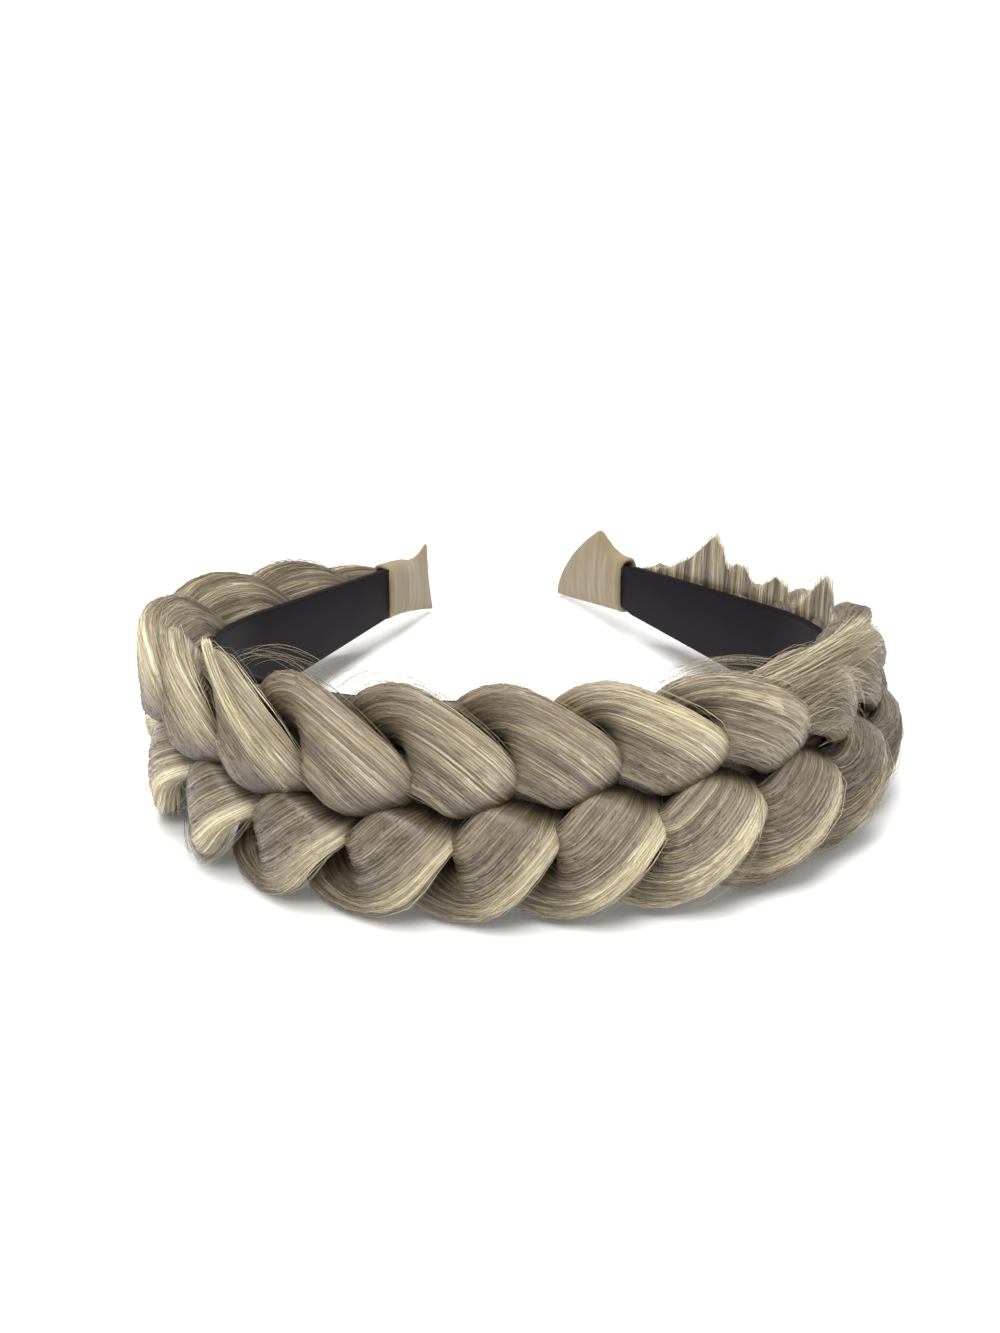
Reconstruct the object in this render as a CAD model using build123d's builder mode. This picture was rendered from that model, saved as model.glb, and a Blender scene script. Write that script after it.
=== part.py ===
import math
import os
from collections import namedtuple

from build123d import *

os.makedirs("parts", exist_ok=True)

# Driving sizes in millimetres. Lengths along the band run on its inner face, from the crown.
crown_radius = 112.0  # gentle curve over the crown
crown_length = 20.0  # half of that curve
side_radius = 52.0  # rounder curve down each side
side_length = 100.0
leg_length = 61.0  # straight leg, down to the hidden end of the band
band_thickness = 2.0
band_crown_height = 33.0
band_neck_height = 12.4  # where the end wraps begin
band_tip_height = 9.0
braid_width = 52.0  # across the braid at the crown
braid_depth = 14.5  # from the band out to the fullest lobes
lobe_pitch = 18.3  # from one lobe to the next on the same edge
lobe_start = -23.2  # where the first strand comes over the upper edge
strand_overrun = 1.5  # how far the strands reach past the band's end
tip_middle_height = 12.6  # how high the middle of the band lies at its ends
wrap_length = 21.0
wrap_pinch = 2.4  # thickness where the wrap's two layers are pressed together
left_grip = 7.5  # how far each end wrap reaches over the band
right_grip = 3.2
fabric_thickness = 1.0
clearance = 0.3
wrap_corner = 0.33  # rounding of the wraps and their pockets as a share of the thickness
pocket_corner = 0.2

strand_sides = 10
rounding = 1e-9
steps_per_pitch = 5
corner_points = 4

half_length = crown_length + side_length + leg_length
half_width = braid_width / 2
braid_back = band_thickness + clearance

# One pass of a strand from edge to edge takes 1.5 pitches. Along is in pitches from the
# upper crest, across and width are shares of half_width, out and thick of braid_depth.
StrandRow = namedtuple("StrandRow", "along across out width thick roll front")
strand_rows = (
    StrandRow(-0.50, 0.000, 0.200, 0.34, 0.145, 0, 0),
    StrandRow(-0.30, 0.345, 0.068, 0.47, 0.130, -6, 0),
    StrandRow(-0.10, 0.570, 0.320, 0.64, 0.310, -15, 0),
    StrandRow(0.10, 0.630, 0.490, 0.68, 0.390, -17, 0.5),
    StrandRow(0.30, 0.565, 0.690, 0.645, 0.430, -13, 1),
    StrandRow(0.50, 0.380, 0.775, 0.62, 0.420, -2, 1),
    StrandRow(0.70, 0.210, 0.715, 0.52, 0.295, 0, 0.5),
    StrandRow(0.85, 0.105, 0.525, 0.43, 0.225, 0, 0),
)
pitches_per_pass = 1.5
squeeze_power = 1.15  # strands thin a little faster than the braid narrows

# The plait is loose on one leg and tight on the other: place as a share of half_length,
# and the pitch from there on as a share of lobe_pitch.
PitchRow = namedtuple("PitchRow", "place pitch")
pitch_rows = (PitchRow(-1.05, 1.42), PitchRow(-0.44, 0.96), PitchRow(0.58, 0.90))

packed_deep = 0.13  # how flat the braid is pressed inside the wraps

# How the braid narrows towards its ends: place as a share of half_length, upper as a share
# of half_width, lower as a share of the height of the band's middle there, deep of braid_depth.
TaperRow = namedtuple("TaperRow", "place upper lower deep")
taper_rows = (
    TaperRow(-1.01, 0.155, 0.34, packed_deep),
    TaperRow(-0.96, 0.22, 0.46, packed_deep),
    TaperRow(-0.88, 0.42, 0.82, 0.58),
    TaperRow(-0.75, 0.56, 0.96, 0.85),
    TaperRow(-0.60, 0.70, 0.98, 1.00),
    TaperRow(-0.36, 1.00, 0.98, 1.00),
    TaperRow(0.00, 1.04, 0.98, 1.00),
    TaperRow(0.36, 1.03, 0.91, 1.00),
    TaperRow(0.50, 0.90, 0.91, 1.00),
    TaperRow(0.64, 0.80, 0.95, 1.00),
    TaperRow(0.75, 0.66, 0.96, 0.85),
    TaperRow(0.86, 0.56, 0.84, 0.62),
    TaperRow(0.96, 0.22, 0.46, packed_deep),
    TaperRow(1.01, 0.155, 0.34, packed_deep),
)

# On one side of the crown the strands cross below the braid's middle: place as a share of
# half_length, and how far the crossing lies below, as a share of half_width.
SagRow = namedtuple("SagRow", "place drop")
sag_rows = (
    SagRow(-0.60, 0.00),
    SagRow(-0.30, 0.15),
    SagRow(-0.16, 0.18),
    SagRow(-0.05, 0.12),
    SagRow(0.07, 0.00),
    SagRow(0.20, -0.06),
    SagRow(0.40, -0.07),
    SagRow(0.70, 0.00),
)

# Outline of each fish-tail wrap: upper and lower are places along its two edges as shares of
# wrap_length, top and bottom are shares of band_neck_height from the band's middle, full says
# how much of the wrap's thickness is left, bulge how far the middle stands out past the edges.
WrapRow = namedtuple("WrapRow", "upper lower top bottom full bulge")
left_wrap_rows = (
    WrapRow(0.00, 0.00, 0.60, -0.60, 1.00, 0.00),
    WrapRow(0.30, 0.32, 0.52, -0.61, 1.00, 0.00),
    WrapRow(0.47, 0.50, 0.47, -0.65, 0.80, 0.00),
    WrapRow(0.62, 0.68, 0.39, -0.70, 0.45, 0.00),
    WrapRow(0.84, 0.93, 0.44, -0.79, 0.15, -0.02),
    WrapRow(0.97, 1.09, 0.57, -0.86, 0.00, -0.07),
)
right_wrap_rows = (
    WrapRow(0.00, 0.00, 0.58, -0.58, 1.00, 0.00),
    WrapRow(0.18, 0.24, 0.57, -0.60, 1.00, 0.00),
    WrapRow(0.30, 0.50, 0.62, -0.64, 0.75, 0.00),
    WrapRow(0.42, 0.82, 0.76, -0.70, 0.40, 0.01),
    WrapRow(0.53, 1.13, 0.88, -0.76, 0.15, 0.03),
    WrapRow(0.61, 1.42, 0.92, -0.80, 0.00, 0.06),
)


def spine_point(place):
    """Plan point of the band's inner face at a length from the crown, and its direction."""
    side = math.copysign(1, place)
    run = abs(place)
    turn = min(run, crown_length) / crown_radius
    x = crown_radius * math.sin(turn)
    y = crown_radius * (1 - math.cos(turn))
    if run > crown_length:
        bend = min(run - crown_length, side_length) / side_radius
        x += side_radius * (math.sin(turn + bend) - math.sin(turn))
        y += side_radius * (math.cos(turn) - math.cos(turn + bend))
        turn += bend
    leg = max(run - crown_length - side_length, 0)
    return side * (x + leg * math.cos(turn)), y + leg * math.sin(turn), turn, side


tip_depth = spine_point(half_length)[1]
neck_depth = spine_point(half_length - left_grip)[1]
packed_depth = braid_back + packed_deep * braid_depth + clearance
wrap_depth = packed_depth + clearance + 2 * fabric_thickness
wrap_middle = (packed_depth - clearance) / 2


def middle_height(y):
    """Height of the band's middle: it falls from the crown to the tips."""
    return half_width + (tip_middle_height - half_width) * y / tip_depth


def world_point(place, across, out):
    """A point given along the band, across it and out from its inner face."""
    x, y, turn, side = spine_point(place)
    height = middle_height(y) + across
    return x + side * out * math.sin(turn), y - out * math.cos(turn), height


def table_value(rows, key, column, at):
    """Straight-line value of one column of a table at a given place."""
    for low, high in zip(rows, rows[1:]):
        if at <= getattr(high, key):
            break
    share = (at - getattr(low, key)) / (getattr(high, key) - getattr(low, key))
    share = min(max(share, 0), 1)
    return getattr(low, column) + share * (getattr(high, column) - getattr(low, column))


def pitches_at(place):
    """How many pitches lie between the first crest and a place along the band."""

    def count(to):
        total = 0
        ends = [row.place * half_length for row in pitch_rows[1:]] + [2 * half_length]
        for row, end in zip(pitch_rows, ends):
            start = row.place * half_length
            total += max(min(to, end) - start, 0) / (row.pitch * lobe_pitch)
        return total

    return count(place) - count(lobe_start)


def local_pitch(place):
    """Pitch of the plait at a place, as a share of lobe_pitch, eased over one pitch."""
    return 1 / (pitches_at(place + lobe_pitch / 2) - pitches_at(place - lobe_pitch / 2))


def strand_value(column, phase):
    """Smooth value of one column of the strand's table; across changes sides each pass."""
    first = strand_rows[0].along
    number = math.floor((phase - first) / pitches_per_pass)
    within = phase - number * pitches_per_pass
    count = len(strand_rows)

    def knot(index):
        lap, row = divmod(index, count)
        value = getattr(strand_rows[row], column)
        if column == "across":
            value *= (-1) ** lap
        return strand_rows[row].along + pitches_per_pass * lap, value

    index = max(i for i in range(count) if strand_rows[i].along <= within + rounding)
    (x0, y0), (x1, y1), (x2, y2), (x3, y3) = [knot(index + i) for i in (-1, 0, 1, 2)]
    slope1 = (y2 - y0) / (x2 - x0) * (x2 - x1)
    slope2 = (y3 - y1) / (x3 - x1) * (x2 - x1)
    q = (within - x1) / (x2 - x1)
    value = (2 * q**3 - 3 * q**2 + 1) * y1 + (q**3 - 2 * q**2 + q) * slope1
    value += (3 * q**2 - 2 * q**3) * y2 + (q**3 - q**2) * slope2
    return value * (-1) ** number if column == "across" else value


def edge_side(phase):
    """Which edge of the braid the strand's pass belongs to: 1 upper, -1 lower."""
    return (-1) ** math.floor((phase - strand_rows[0].along) / pitches_per_pass)


def strand_centre(strand, place):
    """Middle of a strand: along, across and out."""
    phase = pitches_at(place) - strand
    share = strand_value("across", phase)
    at = place / half_length
    if share > 0:
        reach = table_value(taper_rows, "place", "upper", at) * half_width
    else:
        y = spine_point(place)[1]
        reach = table_value(taper_rows, "place", "lower", at) * middle_height(y)
    depth = table_value(taper_rows, "place", "deep", at) * braid_depth
    return place, share * reach, braid_back + strand_value("out", phase) * depth


def unit(vector):
    """The vector at length one."""
    length = math.sqrt(sum(v * v for v in vector))
    return [v / length for v in vector]


def sagged(place, across):
    """Height across the braid, let down where the crossings lie lower; the edges stay."""
    drop = table_value(sag_rows, "place", "drop", place / half_length) * half_width
    return across - drop * max(1 - (across / half_width) ** 2, 0)


def strand_section(strand, place):
    """Ring of points round a strand: a rounded oval across its run."""
    phase = pitches_at(place) - strand
    at = place / half_length
    centre = strand_centre(strand, place)
    before, after = strand_centre(strand, place - clearance), strand_centre(strand, place + clearance)
    run = unit([b - a for a, b in zip(before, after)])
    normal = unit([-run[2] * run[0], -run[2] * run[1], 1 - run[2] * run[2]])
    # Across the strand, towards its own edge of the braid
    across = [
        run[1] * normal[2] - run[2] * normal[1],
        run[2] * normal[0] - run[0] * normal[2],
        run[0] * normal[1] - run[1] * normal[0],
    ]
    side = edge_side(phase)
    if across[1] * side < 0:
        across = [-v for v in across]
    roll = math.radians(strand_value("roll", phase))
    wide_axis = [a * math.cos(roll) - n * math.sin(roll) for a, n in zip(across, normal)]
    thick_axis = [n * math.cos(roll) + a * math.sin(roll) for a, n in zip(across, normal)]
    upper = table_value(taper_rows, "place", "upper", at) * half_width
    lower = table_value(taper_rows, "place", "lower", at) * middle_height(spine_point(place)[1])
    squeeze = ((upper + lower) / braid_width) ** squeeze_power
    # Where the plait is loose the strands are fuller in front
    looseness = 1 + (local_pitch(place) - 1) * strand_value("front", phase)
    half_wide = strand_value("width", phase) * half_width * squeeze * looseness / 2
    half_thick = strand_value("thick", phase) * braid_depth / 2
    half_thick *= table_value(taper_rows, "place", "deep", at)
    ring = []
    for step in range(strand_sides):
        angle = 2 * math.pi * (step + 0.5) / strand_sides
        wide = half_wide * math.cos(angle) * side
        thick = half_thick * math.sin(angle)
        point = [c + wide * w + thick * t for c, w, t in zip(centre, wide_axis, thick_axis)]
        ring.append(world_point(point[0], sagged(point[0], point[1]), point[2]))
    return ring


def band_half_height(place):
    """Half the band's height: it narrows along the legs and once more inside the wraps."""
    y = spine_point(place)[1]
    if y < neck_depth:
        return (band_crown_height + (band_neck_height - band_crown_height) * y / neck_depth) / 2
    share = (y - neck_depth) / (tip_depth - neck_depth)
    return (band_neck_height + (band_tip_height - band_neck_height) * min(share, 1)) / 2


def rounded_ring(half_thick, half_high, corner):
    """Points round a rectangle with rounded corners, as thickness and height."""
    ring = []
    for quarter in range(4):
        right = 1 if quarter in (0, 3) else -1
        up = 1 if quarter in (0, 1) else -1
        for step in range(corner_points):
            angle = math.pi / 2 * (quarter + step / (corner_points - 1))
            thick = right * (half_thick - corner) + corner * math.cos(angle)
            high = up * (half_high - corner) + corner * math.sin(angle)
            ring.append((thick, high))
    return ring


def wrap_ring(side, neck, row):
    """Outer ring of an end wrap, leaning so that its two edges end where the row says."""
    high = (row.top - row.bottom) * band_neck_height / 2
    middle = (row.top + row.bottom) * band_neck_height / 2
    thick = wrap_pinch + (wrap_depth - wrap_pinch) * row.full
    ring = []
    for across, up in rounded_ring(thick / 2, high, thick * wrap_corner):
        share = up / high
        along = (row.upper + row.lower) / 2 + (row.upper - row.lower) / 2 * share
        along += row.bulge * (1 - share**2)
        place = side * (neck + along * wrap_length)
        ring.append(world_point(place, middle + up, wrap_middle + across))
    return ring


def cavity_ring(side, place):
    """Ring inside an end wrap, just clear of the band and the strands."""
    high = band_half_height(place) + clearance
    thick = wrap_depth / 2 - fabric_thickness
    outline = rounded_ring(thick, high, thick * pocket_corner)
    return [world_point(side * place, up, wrap_middle + across) for across, up in outline]


def faceted_solid(rings):
    """Closed solid of flat facets through rings that have the same number of points."""

    def facet(*corners):
        return Face(Wire.make_polygon([Vector(*corner) for corner in corners], close=True))

    count = len(rings[0])
    faces = []
    for ring, following in zip(rings, rings[1:]):
        for index in range(count):
            beside = (index + 1) % count
            faces.append(facet(ring[index], ring[beside], following[beside]))
            faces.append(facet(ring[index], following[beside], following[index]))
    for ring in (rings[0], rings[-1]):
        centre = [sum(values) / count for values in zip(*ring)]
        for index in range(count):
            faces.append(facet(centre, ring[index], ring[(index + 1) % count]))
    return Solid(Shell(faces))


def strand_rings(strand):
    """Rings along one strand from wrap to wrap."""
    reach = half_length + strand_overrun
    count = round(2 * reach / lobe_pitch * steps_per_pitch)
    return [strand_section(strand, reach * (2 * step / count - 1)) for step in range(count + 1)]


def wrap_rings(side, grip, rows):
    """Rings of a hollow end wrap, from the blind end of its pocket round its mouth."""
    neck = half_length - grip
    blind = half_length + strand_overrun + clearance
    inner = [cavity_ring(side, place) for place in (blind, half_length, neck)]
    return inner + [wrap_ring(side, neck, row) for row in rows]


with BuildPart() as inner_band:
    crown_turn = math.degrees(crown_length / crown_radius)
    side_turn = math.degrees(side_length / side_radius)
    with BuildSketch() as band_plan:
        with BuildLine():
            inner_crown = JernArc((0, 0), (1, 0), crown_radius, crown_turn)
            inner_side = JernArc(inner_crown @ 1, inner_crown % 1, side_radius, side_turn)
            inner_leg = PolarLine(inner_side @ 1, leg_length, direction=inner_side % 1)
            outer_start = (0, -band_thickness)
            outer_crown = JernArc(outer_start, (1, 0), crown_radius + band_thickness, crown_turn)
            outer_radius = side_radius + band_thickness
            outer_side = JernArc(outer_crown @ 1, outer_crown % 1, outer_radius, side_turn)
            outer_leg = PolarLine(outer_side @ 1, leg_length, direction=outer_side % 1)
            Line(inner_leg @ 1, outer_leg @ 1)
            Line((0, 0), outer_start)
        make_face()
        mirror(about=Plane.YZ)
    extrude(amount=braid_width)
    with BuildSketch(Plane.YZ) as band_side:
        with BuildLine():
            upper_line = []
            lower_line = []
            for depth, height in (
                (0, band_crown_height),
                (neck_depth, band_neck_height),
                (tip_depth, band_tip_height),
            ):
                upper_line.append((depth, middle_height(depth) + height / 2))
                lower_line.append((depth, middle_height(depth) - height / 2))
            spare = 2 * band_thickness  # so that the side profile cuts only the two edges
            front = -spare
            upper_line.insert(0, (front, upper_line[0][1]))
            lower_line.insert(0, (front, lower_line[0][1]))
            back = tip_depth + spare
            upper_line.append((back, upper_line[-1][1]))
            lower_line.append((back, lower_line[-1][1]))
            Polyline(*upper_line, *reversed(lower_line), close=True)
        make_face()
    extrude(amount=2 * half_length, both=True, mode=Mode.INTERSECT)

with BuildPart() as strand_a:
    add(faceted_solid(strand_rings(0)))

with BuildPart() as strand_b:
    add(faceted_solid(strand_rings(1)))

with BuildPart() as strand_c:
    add(faceted_solid(strand_rings(2)))

with BuildPart() as end_wrap_left:
    add(faceted_solid(wrap_rings(-1, left_grip, left_wrap_rows)))

with BuildPart() as end_wrap_right:
    add(faceted_solid(wrap_rings(1, right_grip, right_wrap_rows)))

pieces = {
    "inner_band": inner_band,
    "strand_a": strand_a,
    "strand_b": strand_b,
    "strand_c": strand_c,
    "end_wrap_left": end_wrap_left,
    "end_wrap_right": end_wrap_right,
}

# The origin is the middle of the whole headband's footprint, on the surface it lies on
boxes = [piece.part.bounding_box() for piece in pieces.values()]
middle_x = (min(box.min.X for box in boxes) + max(box.max.X for box in boxes)) / 2
middle_y = (min(box.min.Y for box in boxes) + max(box.max.Y for box in boxes)) / 2
lowest = min(box.min.Z for box in boxes)

for name, piece in pieces.items():
    piece.part.position = (-middle_x, -middle_y, -lowest)
    piece.part.label = name
    export_step(piece.part, f"parts/{name}.step")
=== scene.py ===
"""Looks of a braided hair headband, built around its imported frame.

The plait follows the same curve and the same tables as the solids: three strands of hair that
cross over and under each other on a stiff band, with a cloth wrap over each end.
"""

import logging
import math
from collections.abc import Callable
from dataclasses import dataclass
from enum import Enum, IntEnum

import bmesh
import bpy
import numpy as np
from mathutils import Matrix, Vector

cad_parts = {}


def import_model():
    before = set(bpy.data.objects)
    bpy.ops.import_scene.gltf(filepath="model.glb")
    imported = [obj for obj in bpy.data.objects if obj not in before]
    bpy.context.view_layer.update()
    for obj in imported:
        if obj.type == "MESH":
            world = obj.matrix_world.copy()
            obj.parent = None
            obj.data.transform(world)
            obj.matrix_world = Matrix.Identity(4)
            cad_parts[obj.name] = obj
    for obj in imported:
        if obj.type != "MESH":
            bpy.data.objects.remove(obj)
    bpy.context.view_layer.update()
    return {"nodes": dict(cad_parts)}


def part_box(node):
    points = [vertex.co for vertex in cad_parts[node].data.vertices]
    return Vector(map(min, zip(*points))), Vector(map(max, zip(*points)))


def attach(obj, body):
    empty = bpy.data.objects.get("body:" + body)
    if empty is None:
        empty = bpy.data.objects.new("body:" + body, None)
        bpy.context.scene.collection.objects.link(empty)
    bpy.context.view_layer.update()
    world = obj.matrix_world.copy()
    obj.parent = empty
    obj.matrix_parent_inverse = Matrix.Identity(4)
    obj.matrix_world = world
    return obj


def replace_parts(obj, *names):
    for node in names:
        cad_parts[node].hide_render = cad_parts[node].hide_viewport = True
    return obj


LOG = logging.getLogger("headband")
MM = 0.001
FULL_TURN = 2 * math.pi
BODY = "root"
FLOW = "flow"  # the UV map that follows the hair or the thread, in millimetres
SEAM_REACH = 1e-7  # vertices of a seam or a pole lie within this distance, in metres
FLOW_REACH = 400.0  # single hairs read their streaks from places spread this far, in millimetres
SCATTER = (12.9898, 78.233, 43758.5453)  # large unlike factors, which part keys that are near
Socket = bpy.types.NodeSocket
Span = tuple[float, float]
Triple = tuple[float, float, float]
Table = tuple[tuple[float, ...], ...]
Material = bpy.types.Material
Piece = bpy.types.Object


class Slot(Enum):
    """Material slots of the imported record."""

    BAND = "band"
    HAIR = "hair"
    CLOTH = "wrap_fabric"


class Side(Enum):
    """The two legs of the headband, as the sign of the length along it."""

    LEFT = -1
    RIGHT = 1


class Row(IntEnum):
    """Columns of the table of a strand, after the place."""

    ACROSS = 1
    OUT = 2
    WIDTH = 3
    THICK = 4
    ROLL = 5
    FRONT = 6


class Taper(IntEnum):
    """Columns of the table of how the braid narrows, after the place."""

    UPPER = 1
    LOWER = 2
    DEEP = 3


def smooth_step(low: float, high: float, value: np.ndarray) -> np.ndarray:
    """Eased ramp from 0 at low to 1 at high."""
    share = np.clip((value - low) / (high - low), 0, 1)
    return share * share * (3 - 2 * share)


def window(rise: Span, fall: Span, value: np.ndarray) -> np.ndarray:
    """Eased ramp up over one range and down again over another."""
    return smooth_step(*rise, value) * (1 - smooth_step(*fall, value))


def circle(share: np.ndarray) -> tuple[np.ndarray, np.ndarray]:
    """Cosine and sine of shares of a full turn."""
    return np.cos(FULL_TURN * share), np.sin(FULL_TURN * share)


def signed_power(value: np.ndarray, power: float) -> np.ndarray:
    """Power of each value's size, with the value's sign."""
    return np.sign(value) * np.abs(value) ** power


def waves(rows: Table, at: np.ndarray, turn: float = 1.0) -> np.ndarray:
    """Sum of sine waves from rows of height, rate and shift; turn scales the shifts."""
    return sum(high * np.sin(at * rate + shift * turn) for high, rate, shift in rows)


def scatter(key: np.ndarray, salt: float) -> np.ndarray:
    """Repeatable random value from 0 to 1 for each key.

    Args:
        key: Whole numbers, such as the number of a lock of hair.
        salt: Picks one of many unlike patterns.

    Returns:
        One value per key.
    """
    wave = np.sin(np.asarray(key, float) * SCATTER[0] + salt * SCATTER[1]) * SCATTER[2]
    return wave - np.floor(wave)


def unit(vectors: np.ndarray) -> np.ndarray:
    """Each row of an array at length one."""
    return vectors / np.linalg.norm(vectors, axis=-1, keepdims=True)


def from_rows(rows: Table, at: np.ndarray, column: int = 1) -> np.ndarray:
    """Value at each place of one column of a table, straight from row to row."""
    table = np.array(rows)
    return np.interp(at, table[:, 0], table[:, column])


def curve_through(
    knots: np.ndarray, values: np.ndarray, slopes: np.ndarray, at: np.ndarray
) -> np.ndarray:
    """Smooth curve through a table's rows.

    Args:
        knots: Places of the rows, rising.
        values: One value per row.
        slopes: One slope per row.
        at: Where the curve is read; past the ends it stays level.

    Returns:
        One value per place.
    """
    at = np.clip(at, knots[0], knots[-1])
    index = np.clip(np.searchsorted(knots, at, side="right") - 1, 0, len(knots) - 2)
    span = knots[index + 1] - knots[index]
    q = (at - knots[index]) / span
    low, high = slopes[index] * span, slopes[index + 1] * span
    start = (2 * q**3 - 3 * q**2 + 1) * values[index] + (q**3 - 2 * q**2 + q) * low
    return start + (3 * q**2 - 2 * q**3) * values[index + 1] + (q**3 - q**2) * high


def shares_by_girth(aspect: float = 2.6, steps: int = 720) -> tuple[np.ndarray, np.ndarray]:
    """Angles of an oval beside the shares of its girth that they end.

    Args:
        aspect: Width of the oval over its thickness.
        steps: Fineness of the sum.

    Returns:
        Shares and angles, both rising.
    """
    angle = np.linspace(0, FULL_TURN, steps + 1)
    speed = np.hypot(aspect * np.sin(angle), np.cos(angle))
    girth = np.append(0, np.cumsum((speed[1:] + speed[:-1]) / 2))
    return girth / girth[-1], angle


OVAL_SHARES, OVAL_ANGLES = shares_by_girth()


@dataclass(frozen=True)
class BandCurve:
    """Plan curve of the band's inner face, and the height of its middle, in millimetres."""

    crown_radius: float = 112.0
    crown_length: float = 20.0
    side_radius: float = 52.0
    side_length: float = 100.0
    leg_length: float = 61.0
    band_thickness: float = 2.0
    band_crown_height: float = 33.0
    band_neck_height: float = 12.4
    crown_middle: float = 26.0
    tip_middle: float = 12.6
    floor_ease: float = 0.25  # hair that would sink into the surface lies flat on it

    @property
    def half_length(self) -> float:
        """Length from the crown to the hidden end of the band."""
        return self.crown_length + self.side_length + self.leg_length

    def plan(self, place: np.ndarray) -> tuple[np.ndarray, ...]:
        """Point and direction of the inner face.

        Args:
            place: Lengths along the band from the crown, left negative.

        Returns:
            x, y, the turned angle and the side of each place.
        """
        place = np.asarray(place, float)
        side = np.where(place < 0, -1.0, 1.0)
        run = np.abs(place)
        turn = np.minimum(run, self.crown_length) / self.crown_radius
        x = self.crown_radius * np.sin(turn)
        y = self.crown_radius * (1 - np.cos(turn))
        bend = np.clip(run - self.crown_length, 0, self.side_length) / self.side_radius
        x = x + self.side_radius * (np.sin(turn + bend) - np.sin(turn))
        y = y + self.side_radius * (np.cos(turn) - np.cos(turn + bend))
        turn = turn + bend
        leg = np.maximum(run - self.crown_length - self.side_length, 0)
        return side * (x + leg * np.cos(turn)), y + leg * np.sin(turn), turn, side

    def middle(self, y: np.ndarray) -> np.ndarray:
        """Height of the band's middle at a depth behind the crown."""
        tip_depth = self.plan(np.array([self.half_length]))[1][0]
        return self.crown_middle + (self.tip_middle - self.crown_middle) * y / tip_depth

    def origin(self) -> np.ndarray:
        """Place of the curve's own origin in the row frame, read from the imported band.

        Returns:
            Its x, y and z in millimetres.
        """
        low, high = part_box("inner_band")
        top = self.crown_middle + self.band_crown_height / 2
        x = (low.x + high.x) / 2 / MM
        return np.array([x, low.y / MM + self.band_thickness, high.z / MM - top])

    def world(self, place: np.ndarray, across: np.ndarray, out: np.ndarray) -> np.ndarray:
        """Row-frame points in metres of places along, across and out from the band.

        Args:
            place: Lengths along the band.
            across: Heights over the band's middle.
            out: Distances from its inner face.

        Returns:
            One point for each place, lifted off the floor.
        """
        x, y, turn, side = self.plan(place)
        height = self.middle(y) + across
        points = np.stack([x + side * out * np.sin(turn), y - out * np.cos(turn), height], -1)
        points = points + self.origin()
        soft = self.floor_ease
        points[..., 2] = soft * np.logaddexp(0, points[..., 2] / soft - 1) + soft
        return points * MM

    def with_outward(
        self, place: np.ndarray, across: np.ndarray, out: np.ndarray
    ) -> tuple[np.ndarray, np.ndarray]:
        """Row-frame points, and the direction away from the band at each.

        Args:
            place: Lengths along the band.
            across: Heights over the band's middle.
            out: Distances from its inner face.

        Returns:
            Points and directions.
        """
        points = self.world(place, across, out)
        return points, self.world(place, across, out + 1) - points


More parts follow.
